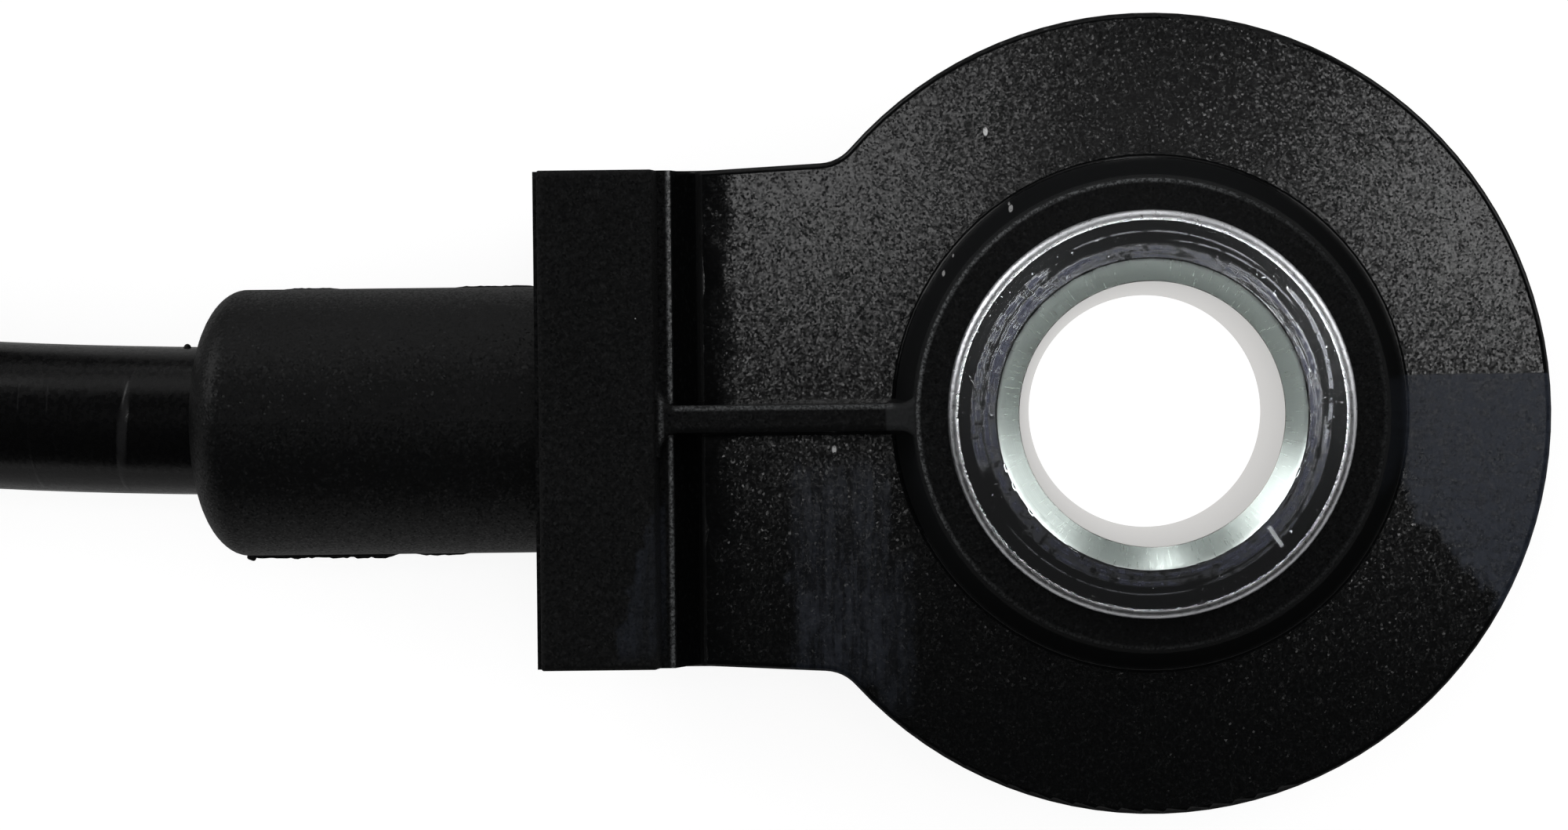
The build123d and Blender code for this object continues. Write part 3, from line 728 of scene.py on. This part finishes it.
class GeometryTree:
    """A Geometry Nodes tree with named inputs, and the plain mesh that it gives."""

    def __init__(self, name: str, inputs: dict[str, object]) -> None:
        """Starts the tree.

        Args:
            name: The tree's name.
            inputs: Each input's default by name: a whole number or a size.
        """
        self.tree = bpy.data.node_groups.new(name, "GeometryNodeTree")
        self.graph = Graph(self.tree)
        interface = self.tree.interface
        for way in ("INPUT", "OUTPUT"):
            interface.new_socket("Geometry", in_out=way, socket_type="NodeSocketGeometry")
        self.sockets = {}
        for label, default in inputs.items():
            kind = "NodeSocketInt" if isinstance(default, int) else "NodeSocketFloat"
            socket = interface.new_socket(label, in_out="INPUT", socket_type=kind)
            socket.default_value = default
            self.sockets[label] = socket.identifier
        material = interface.new_socket("Material", in_out="INPUT", socket_type="NodeSocketMaterial")
        self.material = material.identifier
        self.given = self.graph.named(self.graph.node("NodeGroupInput"))

    def end(self, shape: Value) -> None:
        """Ends the tree in Realize Instances and Set Material, and gives the shape out."""
        plain = self.graph.read("GeometryNodeRealizeInstances", Geometry=shape)
        self.graph.node("NodeGroupOutput", self.graph.read("GeometryNodeSetMaterial", Geometry=plain,
                                                           Material=self.given["Material"]))

    def run(self, piece: Object, material: Finish, values: dict[str, object]) -> None:
        """Runs the tree on a piece and keeps the result as its plain mesh.

        Args:
            piece: The object, whose mesh is the tree's own geometry.
            material: The finish.
            values: The inputs by name.
        """
        modifier = piece.modifiers.new("shape", "NODES")
        modifier.node_group = self.tree
        modifier[self.material] = material
        for name, value in values.items():
            modifier[self.sockets[name]] = value
        bpy.context.view_layer.update()
        graph = bpy.context.evaluated_depsgraph_get()
        mesh = bpy.data.meshes.new_from_object(piece.evaluated_get(graph))
        piece.modifiers.clear()
        piece.data = mesh


class TurnedTree(GeometryTree):
    """A tree that sweeps the object's own profile points round an axis, one row of points a station."""

    def __init__(self, name: str, inputs: dict[str, object], carried: str) -> None:
        """Starts the tree and finds every point's station and angle.

        Args:
            name: The tree's name.
            inputs: Each input's default by name, Segments among them.
            carried: The profile's own attribute that the rule needs.
        """
        super().__init__(name, inputs)
        graph = self.graph
        segments = self.given["Segments"]
        size = graph.read("GeometryNodeAttributeDomainSize", out="Point Count", component="MESH",
                          Geometry=self.given["Geometry"])
        row = segments + 1.0
        self.grid = graph.read("GeometryNodeMeshGrid", out="Mesh", Vertices_X=size, Vertices_Y=row)
        index = graph.read("GeometryNodeInputIndex")
        self.station = graph.math("FLOOR", (index + 0.5) / row)
        angle = (index - self.station * row) / segments * math.tau
        self.cosine = graph.math("COSINE", angle)
        self.sine = graph.math("SINE", angle)
        self.place = self.sample("FLOAT_VECTOR", graph.read("GeometryNodeInputPosition"))
        named = graph.read("GeometryNodeInputNamedAttribute", out="Attribute", data_type="FLOAT",
                           Name=carried)
        self.carried = self.sample("FLOAT", named)

    def sample(self, kind: str, value: Value) -> Value:
        """Reads a value of the profile at this point's station."""
        return self.graph.read("GeometryNodeSampleIndex", out="Value", data_type=kind, domain="POINT",
                               Geometry=self.given["Geometry"], Value=value, Index=self.station)

    def close(self, position: Value) -> None:
        """Moves the grid's points to their places, closes the seams and ends the tree."""
        moved = self.graph.read("GeometryNodeSetPosition", Geometry=self.grid, Position=position)
        self.end(self.graph.read("GeometryNodeMergeByDistance", Geometry=moved, Distance=MERGE_DISTANCE))


def place_object(name: str, data: bpy.types.ID) -> Object:
    """Makes an object and links it into the scene.

    Args:
        name: The object's name.
        data: Its mesh, curve, camera or light.

    Returns:
        The object.
    """
    made = bpy.data.objects.new(name, data)
    bpy.context.scene.collection.objects.link(made)
    return made


def new_piece(name: str, points: list[Point], edges: list | None = None,
              faces: list | None = None) -> Object:
    """Makes an object from points, edges and faces.

    Args:
        name: The piece's name.
        points: The vertices in metres.
        edges: Pairs of vertex numbers.
        faces: Loops of vertex numbers.

    Returns:
        The linked object.
    """
    mesh = bpy.data.meshes.new(name)
    mesh.from_pydata(points, edges or [], faces or [])
    return place_object(name, mesh)


def profile_piece(name: str, points: list[Point], carried: str, values: list[float]) -> Object:
    """Makes the object whose own mesh is a profile for a turned tree.

    Args:
        name: The piece's name.
        points: The profile in metres.
        carried: The attribute's name.
        values: Its value at each point.

    Returns:
        The linked object.
    """
    piece = new_piece(name, points, edges=[(i, i + 1) for i in range(len(points) - 1)])
    piece.data.attributes.new(carried, "FLOAT", "POINT").data.foreach_set("value", values)
    return piece


def finish_mesh(piece: Object, sharp_degrees: float = 30.0) -> None:
    """Merges doubles, points the faces outwards and smooths all but sharp edges.

    Args:
        piece: The object to finish.
        sharp_degrees: The angle from which an edge stays sharp.
    """
    shape = bmesh.new()
    shape.from_mesh(piece.data)
    bmesh.ops.remove_doubles(shape, verts=shape.verts, dist=MERGE_DISTANCE)
    bmesh.ops.recalc_face_normals(shape, faces=shape.faces)
    for face in shape.faces:
        face.smooth = True
    shape.to_mesh(piece.data)
    shape.free()
    piece.data.set_sharp_from_angle(angle=math.radians(sharp_degrees))


class Studio:
    """The camera, the pale floor, the room and the lamps."""

    lens_mm = 84.78
    sensor_mm = 36.0
    shift = (-0.1955, -0.0158)
    camera_place: Point = (-0.001945, 0.000775, 0.134)
    camera_turn = -0.0115
    clip = (0.002, 10.0)
    floor_half = 1.5
    floor_color: Color = (0.25, 0.25, 0.25)
    floor_glow = 0.84
    bore_glow = 1.0
    bore_edge_mm = (5.0, 6.0)
    mirrored_share = 0.13
    windows = ((0.0, 1.0, 0.12, 1.5), (2.30, 2.75, 0.08, 2.8), (1.54, 1.72, 0.04, 5.0))
    walls = (-0.1, 0.2, 0.55, 0.28)
    horizon = (0.08, 0.22)
    dome_level = 0.012
    lamps = (
        ("lamp_left", (-0.041, 0.036, 0.414), (-0.010, 0.006, 0.014), (0.030, 0.030), 0.043, True),
        ("lamp_right", (0.058, 0.026, 0.414), (0.010, 0.006, 0.014), (0.030, 0.030), 0.058, True),
        ("key_back", (-0.02, 0.346, 0.21), (-0.01, 0.0, 0.01), (0.30, 0.20), 0.12, True),
        ("key_left", (-0.308, 0.216, 0.147), (-0.01, 0.0, 0.01), (0.30, 0.16), 0.36, True),
        ("key_right", (0.308, 0.216, 0.147), (0.0, 0.0, 0.01), (0.30, 0.16), 0.30, True),
        ("overhead", (0.0, 0.0, 0.60), (0.0, 0.0, 0.0), (0.80, 0.80), 3.7, False),
    )

    def build(self) -> None:
        """Makes the whole set."""
        bpy.context.scene.view_settings.view_transform = "Standard"
        self.make_camera()
        self.make_floor()
        self.make_room()
        for lamp in self.lamps:
            self.make_lamp(*lamp)

    def make_camera(self) -> None:
        """Makes the camera, looking straight down as the photograph does."""
        data = bpy.data.cameras.new("photo_camera")
        data.lens = self.lens_mm
        data.sensor_width = self.sensor_mm
        data.shift_x, data.shift_y = self.shift
        data.clip_start, data.clip_end = self.clip
        camera = place_object("photo_camera", data)
        camera.location = self.camera_place
        camera.rotation_euler = (0.0, 0.0, self.camera_turn)
        bpy.context.scene.camera = camera

    def make_floor(self) -> None:
        """Makes the floor, which the camera and gloss see as nearly white under its shadow, and which glows
        brighter under the bore as a painted pool of light for the bore's wall to reflect.
        """
        size = self.floor_half
        floor = new_piece("floor", [(-size, -size, 0), (size, -size, 0), (size, size, 0), (-size, size, 0)],
                          faces=[(0, 1, 2, 3)])
        floor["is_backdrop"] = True
        finish = MarkedMaterial("pale_floor")
        graph = finish.graph
        finish.put(Base_Color=self.floor_color, Roughness=0.8, Specular_IOR_Level=0.1)
        path = graph.named(graph.node("ShaderNodeLightPath"))
        # Painted pool of light: within the bore's reach the floor glows at full strength, for camera and
        # gloss alike.
        share = graph.ramp(finish.radius, *self.bore_edge_mm, 1.0, self.mirrored_share)
        mirrored = graph.highest(path["Is Glossy Ray"], path["Is Transmission Ray"]) * share
        level = graph.ramp(finish.radius, *self.bore_edge_mm, self.bore_glow, self.floor_glow)
        glow = graph.read("ShaderNodeEmission", Color=WHITE,
                          Strength=graph.highest(path["Is Camera Ray"], mirrored) * level)
        total = graph.read("ShaderNodeAddShader", finish.shader.outputs[0], glow)
        graph.fill(finish.data.node_tree.nodes["Material Output"], Surface=total)
        floor.data.materials.append(finish.data)

    def make_room(self) -> None:
        """Makes the room: white towards the horizon and dark overhead."""
        world = bpy.data.worlds.new("studio")
        world.use_nodes = True
        graph = Graph(world.node_tree)
        right, back, up = graph.split(graph.read("ShaderNodeTexCoord", out="Generated"))
        turned = graph.math("ARCTAN2", back, right)
        windows = (graph.within(turned, start, end, soft) * level for start, end, soft, level in self.windows)
        walls = graph.highest(graph.ramp(back, *self.walls), *windows)
        graph.fill(world.node_tree.nodes["Background"], Color=WHITE,
                   Strength=walls * graph.fall(up, *self.horizon) + self.dome_level)
        bpy.context.scene.world = world

    def make_lamp(self, name: str, place: Point, aim: Point, size: Pair, power: float,
                  mirrored: bool) -> None:
        """Makes one soft box.

        Args:
            name: The lamp's name.
            place: Its centre.
            aim: The point that it faces.
            size: Its width and height.
            power: Its power in watts.
            mirrored: Whether gloss shows it.
        """
        data = bpy.data.lights.new(name, "AREA")
        data.shape = "RECTANGLE"
        data.size, data.size_y = size
        data.energy = power
        lamp = place_object(name, data)
        lamp.location = place
        lamp.rotation_euler = (Vector(aim) - Vector(place)).to_track_quat("-Z", "Y").to_euler()
        lamp.visible_camera = False
        lamp.visible_glossy = mirrored


@dataclass
class Cable:
    """The sheathed cable from the boss through the stored coil to the plug."""

    diameter_mm: float = 5.0
    boss_end_mm: Point = (-31.9, 0.0, 9.0)
    real_length: float = 0.47
    coil_center_mm: Pair = (-68.5, 31.3)
    entry_angle: float = -97.0
    exit_angle: float = -990.0
    points_a_turn: int = 24
    lead_mm: tuple[Point, ...] = (
        (-23.0, 0.0, 9.0), (-34.5, 0.0, 9.0), (-46.5, 0.9, 7.7), (-55.5, 1.85, 4.8), (-63.923, 2.931, 3.0),
    )
    tail_mm: tuple[Point, ...] = (
        (-59.0, 56.3, 8.0), (-49.0, 55.5, 7.6), (-39.2, 53.5, 6.0), (-30.0, 53.5, 6.0),
    )
    levels: tuple[Point, ...] = (
        (0.0, 27.6, 3.0), (300.0, 27.6, 3.0), (360.0, 22.4, 3.0), (590.0, 22.4, 3.0),
        (650.0, 25.0, 8.0), (893.0, 25.0, 8.0),
    )
    pieces_on_it: tuple[str, ...] = (
        "coil_tie_1", "coil_tie_2", "plug_housing", "plug_lock", "signal_terminal", "return_terminal",
    )

    def coil_mm(self) -> list[Point]:
        """Gives the coil's control points.

        Returns:
            The points in millimetres.
        """
        total = self.entry_angle - self.exit_angle
        count = round(total / 360.0 * self.points_a_turn)
        points = []
        for index in range(count + 1):
            turned = total * index / count
            radius, level = self.radius_and_level(turned)
            angle = math.radians(self.entry_angle - turned)
            x, y = self.coil_center_mm
            points.append((x + radius * math.cos(angle), y + radius * math.sin(angle), level))
        return points

    def radius_and_level(self, turned: float) -> Pair:
        """Gives the coil's radius and height after a turned angle.

        Args:
            turned: The angle in degrees from the coil's entry.

        Returns:
            The radius and the height in millimetres.
        """
        for (start, radius, level), (end, next_radius, next_level) in zip(self.levels, self.levels[1:]):
            if turned <= end:
                share = (turned - start) / (end - start)
                share = share * share * (3.0 - 2.0 * share)
                return radius + (next_radius - radius) * share, level + (next_level - level) * share
        return self.levels[-1][1:]

    def build(self) -> Object:
        """Makes the cord.

        Returns:
            The cable's curve object.
        """
        route = [*self.lead_mm, *self.coil_mm(), *self.tail_mm]
        curve = bpy.data.curves.new("cable", "CURVE")
        curve.dimensions = "3D"
        curve.resolution_u = 10
        curve.bevel_depth = self.diameter_mm / 2.0 * MM
        curve.bevel_resolution = 10
        curve.use_fill_caps = True
        spline = curve.splines.new("NURBS")
        spline.points.add(len(route) - 1)
        for point, place in zip(spline.points, route):
            point.co = (*(Vector(place) * MM), 1.0)
        spline.order_u = 3
        spline.use_endpoint_u = True
        cable = place_object("cable", curve)
        curve.materials.append(SheathPlastic().make(self.real_length / MM))
        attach(cable, ROOT)
        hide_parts("cable_lead", "cable_coil", "cable_tail")
        return cable


@dataclass
class Sleeve:
    """The turned pressure sleeve, made by turning its half section round the bore."""

    bore_radius_mm: float = 4.2
    outer_radius_mm: float = 6.45
    height_mm: float = 18.0
    mouth_chamfer_mm: float = 0.7
    rim_round_mm: float = 0.27
    flange_radius_mm: float = 11.0
    flange_mm: float = 2.0
    flange_chamfer_mm: float = 0.2
    groove_levels_mm: tuple[float, ...] = (15.2, 14.0)
    groove_width_mm: float = 0.6
    groove_depth_mm: float = 0.25
    segments: int = 288
    chamfer_steps: int = 6
    face_steps: int = 14
    rim_steps: int = 10
    face_margin_mm: float = 0.06
    lip_mm: tuple[Triple, ...] = ((-0.02, -0.02, 0.8), (0.01, 0.0, 1.0))
    rim_chatter: float = 0.25
    chatter_mm: float = 0.06
    chatter_count: float = 26.0
    seed: int = 7

    def sizes(self) -> dict[str, object]:
        """Gives the tree's inputs by name."""
        return {"Segments": self.segments, "Chatter": self.chatter_mm * MM,
                "Chatter Count": self.chatter_count, "Seed": self.seed}

    def half_section(self) -> list[Point]:
        """Gives the half section, clockwise from the foot of the mouth's chamfer.

        Returns:
            Every point's radius, height and share of chatter.
        """
        bore, outer = self.bore_radius_mm, self.outer_radius_mm
        top, chamfer = self.height_mm, self.mouth_chamfer_mm
        foot = top - chamfer
        mouth = bore + chamfer
        rises = [step * chamfer / self.chamfer_steps for step in range(self.chamfer_steps)]
        points = [(bore + rise, foot + rise, 0.0) for rise in rises]
        points += [(mouth + out, top + up, share) for out, up, share in self.lip_mm]
        face = mouth + self.face_margin_mm
        curve = self.rim_round_mm
        shoulder = outer - curve
        points += [(face + step * (shoulder - face) / self.face_steps, top, 0.0)
                   for step in range(self.face_steps + 1)]
        for step in range(1, self.rim_steps + 1):
            angle = math.radians(90.0 - step * 90.0 / self.rim_steps)
            points.append((shoulder + curve * math.cos(angle), top - curve + curve * math.sin(angle),
                           self.rim_chatter))
        for level in self.groove_levels_mm:
            bottom = outer - self.groove_depth_mm
            edge = level + self.groove_width_mm
            points += [(outer, edge, 0.0), (bottom, edge, 0.0), (bottom, level, 0.0), (outer, level, 0.0)]
        flange, edge = self.flange_radius_mm, self.flange_chamfer_mm
        points += [(outer, self.flange_mm, 0.0), (flange, self.flange_mm, 0.0), (flange, edge, 0.0),
                   (flange - edge, 0.0, 0.0), (bore, 0.0, 0.0), (bore, foot / 2, 0.0), points[0]]
        return points

    def tree(self) -> TurnedTree:
        """Builds the tree that turns a half section round the Z axis.

        Returns:
            The tree, with its segments, chatter and seed as inputs.
        """
        made = TurnedTree("turned_part", self.sizes(), "chatter")
        graph, given = made.graph, made.given
        count = given["Chatter Count"]
        radius, _, height = graph.split(made.place)
        trip = graph.vector(made.cosine * count, made.sine * count, given["Seed"] + made.station * 0.35)
        wave = graph.noise(trip, 1.0, 3.0, 0.7) - 0.5
        radius = radius + wave * made.carried * given["Chatter"]
        made.close(graph.vector(radius * made.cosine, radius * made.sine, height))
        return made

    def build(self) -> Object:
        """Makes the sleeve.

        Returns:
            The sleeve's object.
        """
        section = self.half_section()
        points = [(radius * MM, 0.0, height * MM) for radius, height, _ in section]
        sleeve = profile_piece("turned_sleeve", points, "chatter", [share for _, _, share in section])
        self.tree().run(sleeve, SleeveSteel().make(), self.sizes())
        finish_mesh(sleeve)
        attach(sleeve, ROOT)
        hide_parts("sleeve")
        return sleeve


@dataclass
class RibbedBoot:
    """The strain relief boot, blended from the round cable to the plug's flat shape and ribbed."""

    start_mm: Point = (-36.0, 53.5, 6.0)
    length_mm: float = 14.0
    start_radius_mm: float = 3.6
    flare_mm: Pair = (6.0, 4.5)
    corner_power: float = 4.0
    bore_mm: float = 2.52
    rib_count: int = 6
    rib_depth_mm: float = 0.5
    ribbed_share: float = 0.66
    ribbed_run: Triple = (0.12, 0.74, 0.02)
    stations: int = 112
    segments: int = 96

    def sizes(self) -> dict[str, object]:
        """Gives the tree's inputs by name."""
        return {"Segments": self.segments, "Length": self.length_mm * MM,
                "Start Radius": self.start_radius_mm * MM, "Half Width": self.flare_mm[0] * MM,
                "Half Height": self.flare_mm[1] * MM, "Corner Power": self.corner_power,
                "Bore Radius": self.bore_mm * MM, "Rib Count": self.rib_count,
                "Rib Depth": self.rib_depth_mm * MM}

    def tree(self) -> TurnedTree:
        """Builds the tree that sweeps the boot's skin along its length.

        Returns:
            The tree, with the boot's sizes and ribs as inputs.
        """
        made = TurnedTree("ribbed_boot", self.sizes(), "skin")
        graph, given = made.graph, made.given
        power = given["Corner Power"]
        run, _, _ = graph.split(made.place)
        share = run / given["Length"]
        wide = abs(made.cosine / given["Half Width"]) ** power
        high = abs(made.sine / given["Half Height"]) ** power
        outer = graph.blend(share, given["Start Radius"], (wide + high) ** (-1.0 / power))
        wave = graph.math("COSINE", share * given["Rib Count"] * (math.tau / self.ribbed_share))
        groove = graph.ramp(wave, -0.2, 0.55) * graph.within(share, *self.ribbed_run) * given["Rib Depth"]
        radius = graph.blend(made.carried, given["Bore Radius"], outer - groove)
        made.close(graph.vector(run, radius * made.cosine, radius * made.sine))
        return made

    def build(self, material: Finish) -> Object:
        """Makes the boot.

        Args:
            material: The boot's finish.

        Returns:
            The boot's object.
        """
        length = self.length_mm * MM
        outer = [(length * step / self.stations, 0.0, 0.0) for step in range(self.stations + 1)]
        points = [(0.0, 0.0, 0.0), *outer, (length, 0.0, 0.0), (length / 2, 0.0, 0.0), (0.0, 0.0, 0.0)]
        skin = [0.0, *[1.0] * len(outer), 0.0, 0.0, 0.0]
        boot = profile_piece("ribbed_boot", points, "skin", skin)
        self.tree().run(boot, material, self.sizes())
        boot.data.transform(Matrix.Translation(Vector(self.start_mm) * MM))
        finish_mesh(boot, sharp_degrees=45.0)
        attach(boot, ROOT)
        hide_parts("plug_boot")
        return boot


@dataclass
class GripRidges:
    """Tapered ridges on both sides of the plug, for the fingers."""

    first_mm: Point = (-13.0, 53.5, 6.0)
    half_width_mm: float = 7.5
    count: int = 6
    pitch_mm: float = 1.5
    half_size_mm: Point = (0.40, 0.32, 3.4)

    def sizes(self) -> dict[str, object]:
        """Gives the tree's inputs by name."""
        return {"Count": self.count, "Pitch": self.pitch_mm * MM, "Half Width": self.half_width_mm * MM,
                **{f"Ridge {axis}": half * MM for axis, half in zip("XYZ", self.half_size_mm)}}

    def tree(self) -> GeometryTree:
        """Builds the tree that sets the ridges out in two rows.

        Returns:
            The tree, with the count, pitch, plug width and ridge sizes as inputs.
        """
        made = GeometryTree("grip_ridges", self.sizes())
        graph, given = made.graph, made.given
        ridge = graph.read("GeometryNodeMeshUVSphere", out="Mesh", Segments=20, Rings=14, Radius=1.0)
        both = graph.node("GeometryNodeJoinGeometry")
        for side in (-1.0, 1.0):
            start = graph.vector(0.0, given["Half Width"] * side, 0.0)
            graph.fill(both, graph.read("GeometryNodeMeshLine", mode="OFFSET", Count=given["Count"],
                                        Start_Location=start, Offset=graph.vector(given["Pitch"], 0.0, 0.0)))
        scale = graph.vector(*(given[f"Ridge {axis}"] for axis in "XYZ"))
        made.end(graph.read("GeometryNodeInstanceOnPoints", Points=both.outputs[0], Instance=ridge,
                            Scale=scale))
        return made

    def build(self, material: Finish) -> Object:
        """Makes the ridges.

        Args:
            material: The plug's finish.

        Returns:
            The ridges' object.
        """
        ridges = new_piece("plug_grip_ridges", [(0.0, 0.0, 0.0)])
        self.tree().run(ridges, material, self.sizes())
        ridges.data.transform(Matrix.Translation(Vector(self.first_mm) * MM))
        finish_mesh(ridges, sharp_degrees=60.0)
        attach(ridges, ROOT)
        return ridges


@dataclass
class MouldFlash:
    """Thin fins and beads of plastic that the mould left on the boss."""

    boss_radius_mm: float = 4.5
    parting_mm: float = 9.0
    fin_pitch_mm: float = 0.12
    fin_foot_half_mm: float = 0.07
    fin_depth_mm: float = 0.06
    fin_taper_steps: int = 3
    fin_reaches: Pair = (0.55, 1.0)
    fin_lift_mm: float = 0.015
    fin_seed: int = 100
    bead_dents: int = 9
    bead_dent_depths: Pair = (-0.3, 0.25)
    bead_seed: int = 200
    fins_mm: tuple[Triple, ...] = (
        (-30.5, -25.4, 0.15), (-24.85, -23.0, 0.08), (-29.2, -27.3, -0.05), (-23.4, -20.6, -0.06),
    )
    beads_mm: tuple[tuple[Point, Point], ...] = (
        ((-30.4, -4.55, 9.0), (0.16, 0.14, 0.10)),
        ((-32.25, 2.42, 9.1), (0.40, 0.14, 0.30)),
        ((-32.48, 2.52, 9.1), (0.13, 0.16, 0.14)),
    )

    def build(self, material: Finish) -> list[Object]:
        """Makes every fin and bead.

        Args:
            material: The housing's finish.

        Returns:
            The objects.
        """
        made = [self.fin(number, *values) for number, values in enumerate(self.fins_mm, 1)]
        made += [self.bead(number, *values) for number, values in enumerate(self.beads_mm, 1)]
        for piece in made:
            piece.data.materials.append(material)
            finish_mesh(piece, sharp_degrees=50.0)
            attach(piece, ROOT)
        return made

    def fin(self, number: int, start: float, end: float, reach: float) -> Object:
        """Makes one fin along the parting line, with a ragged outer edge.

        Args:
            number: The fin's number.
            start: Its first X.
            end: Its last X.
            reach: How far it stands out, below zero for the side towards +Y.

        Returns:
            The fin's object.
        """
        ragged = random.Random(self.fin_seed + number)
        side = -1.0 if reach > 0 else 1.0
        count = round((end - start) / self.fin_pitch_mm)
        foot = side * (self.boss_radius_mm - self.fin_depth_mm)
        points = []
        faces = []
        for index in range(count + 1):
            x = start + (end - start) * index / count
            taper = min(self.fin_taper_steps, index, count - index) / self.fin_taper_steps
            out = abs(reach) * taper * ragged.uniform(*self.fin_reaches)
            lift = ragged.uniform(-self.fin_lift_mm, self.fin_lift_mm)
            rows = ((foot, self.fin_foot_half_mm), (side * (self.boss_radius_mm + out), lift),
                    (foot, -self.fin_foot_half_mm))
            points += [(x * MM, y * MM, (self.parting_mm + rise) * MM) for y, rise in rows]
            if index:
                low = 3 * (index - 1)
                faces += [(low, low + 1, low + 4, low + 3), (low + 1, low + 2, low + 5, low + 4),
                          (low + 2, low, low + 3, low + 5)]
        last = 3 * count
        faces += [(0, 2, 1), (last, last + 1, last + 2)]
        return new_piece(f"mould_fin_{number}", points, faces=faces)

    def bead(self, number: int, center: Point, size: Point) -> Object:
        """Makes one uneven bead of plastic.

        Args:
            number: The bead's number.
            center: Its centre.
            size: Its half sizes.

        Returns:
            The bead's object.
        """
        uneven = random.Random(self.bead_seed + number)
        shape = bmesh.new()
        bmesh.ops.create_icosphere(shape, subdivisions=3, radius=1.0)
        dents = [(Vector([uneven.gauss(0, 1) for _ in range(3)]).normalized(),
                  uneven.uniform(*self.bead_dent_depths)) for _ in range(self.bead_dents)]
        for vertex in shape.verts:
            way = vertex.co.normalized()
            swell = 1.0 + sum(depth * max(0.0, way.dot(place)) ** 4 for place, depth in dents)
            vertex.co = Vector([(c + w * swell * s) * MM for c, w, s in zip(center, way, size)])
        mesh = bpy.data.meshes.new(f"mould_bead_{number}")
        shape.to_mesh(mesh)
        shape.free()
        return place_object(mesh.name, mesh)


@dataclass
class NodeDress:
    """Finishes for the CAD nodes that stay as they are, each by the word that picks its nodes."""

    plastics: tuple[tuple[object, ...], ...] = (
        ("tie", "tie_plastic", (0.010, 0.010, 0.010), (0.024, 0.024, 0.024), 0.42),
        ("boot", "boot_rubber", (0.006, 0.006, 0.006), (0.014, 0.014, 0.014), 0.55),
        ("plug_housing", "plug_plastic", (0.006, 0.006, 0.0065), (0.014, 0.014, 0.015), 0.36),
        ("lock", "lock_plastic", (0.20, 0.21, 0.22), (0.30, 0.31, 0.32), 0.42),
        ("seal", "seal_silicone", (0.45, 0.12, 0.05), (0.60, 0.22, 0.10), 0.5),
        ("insulating", "insulating_film", (0.42, 0.22, 0.05), (0.60, 0.36, 0.12), 0.25, 0.6, 0.004),
        ("piezo", "piezo_ceramic", (0.50, 0.46, 0.38), (0.66, 0.62, 0.55), 0.5, 0.2, 0.01),
        ("signal_core", "signal_core_plastic", (0.62, 0.61, 0.57), (0.75, 0.74, 0.70), 0.3, 0.5, 0.003),
        ("return_core", "return_core_plastic", (0.02, 0.02, 0.02), (0.05, 0.05, 0.05), 0.3, 0.5, 0.003),
    )
    metals: tuple[tuple[object, ...], ...] = (
        ("contact_disc", "contact_brass", (0.66, 0.48, 0.22), (0.80, 0.63, 0.34), 0.26),
        ("terminal", "terminal_brass", (0.66, 0.48, 0.22), (0.80, 0.63, 0.34), 0.22),
        ("conductor", "braid_copper", (0.70, 0.40, 0.26), (0.82, 0.55, 0.40), 0.3),
        ("braid", "shield_copper", (0.70, 0.42, 0.28), (0.84, 0.60, 0.45), 0.35),
        ("spring", "spring_steel", (0.20, 0.21, 0.25), (0.34, 0.35, 0.38), 0.3),
        ("mass", "turned_steel", (0.46, 0.46, 0.47), (0.60, 0.60, 0.61), 0.25),
        ("nut", "nut_steel", (0.46, 0.46, 0.47), (0.60, 0.60, 0.61), 0.28),
    )

    def build(self, housing: Finish) -> dict[str, Finish]:
        """Dresses every CAD node.

        Args:
            housing: The housing's finish.

        Returns:
            The finishes by the word that picks their nodes.
        """
        made = {word: MouldedPlastic(*values).make() for word, *values in self.plastics}
        made |= {word: WorkedMetal(*values).make() for word, *values in self.metals}
        for name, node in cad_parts.items():
            finish = housing
            if name != "housing":
                finish = next((value for word, value in made.items() if word in name), made["mass"])
            node.data.materials.clear()
            node.data.materials.append(finish)
            LOG.info("dressed %s with %s", name, finish.name)
        return made


def box_list(box: tuple[Vector, Vector]) -> list[list[float]]:
    """Gives a box as plain lists."""
    return [list(corner) for corner in box]


def main() -> None:
    """Builds the studio and every piece."""
    logging.basicConfig(level=logging.INFO, format="%(message)s")
    cad_box = box_list(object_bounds())
    Studio().build()
    EffectGroups().build()
    route = Cable()
    cable = route.build()
    housing = HousingPlastic().make()
    dressed = NodeDress().build(housing)
    sleeve = Sleeve().build()
    LOG.info("turned %s with %d faces", sleeve.name, len(sleeve.data.polygons))
    for piece in MouldFlash().build(housing):
        LOG.info("left %s on the boss", piece.name)
    boot = RibbedBoot().build(dressed["boot"])
    LOG.info("swept %s with %d faces", boot.name, len(boot.data.polygons))
    ridges = GripRidges().build(dressed["plug_housing"])
    LOG.info("set out %s", ridges.name)
    visual_box = box_list(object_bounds())
    for label, box in (("CAD", cad_box), ("visual", visual_box)):
        LOG.info("%s box %s", label, [[round(x * 1000, 2) for x in corner] for corner in box])


if __name__ == "__main__":
    main()
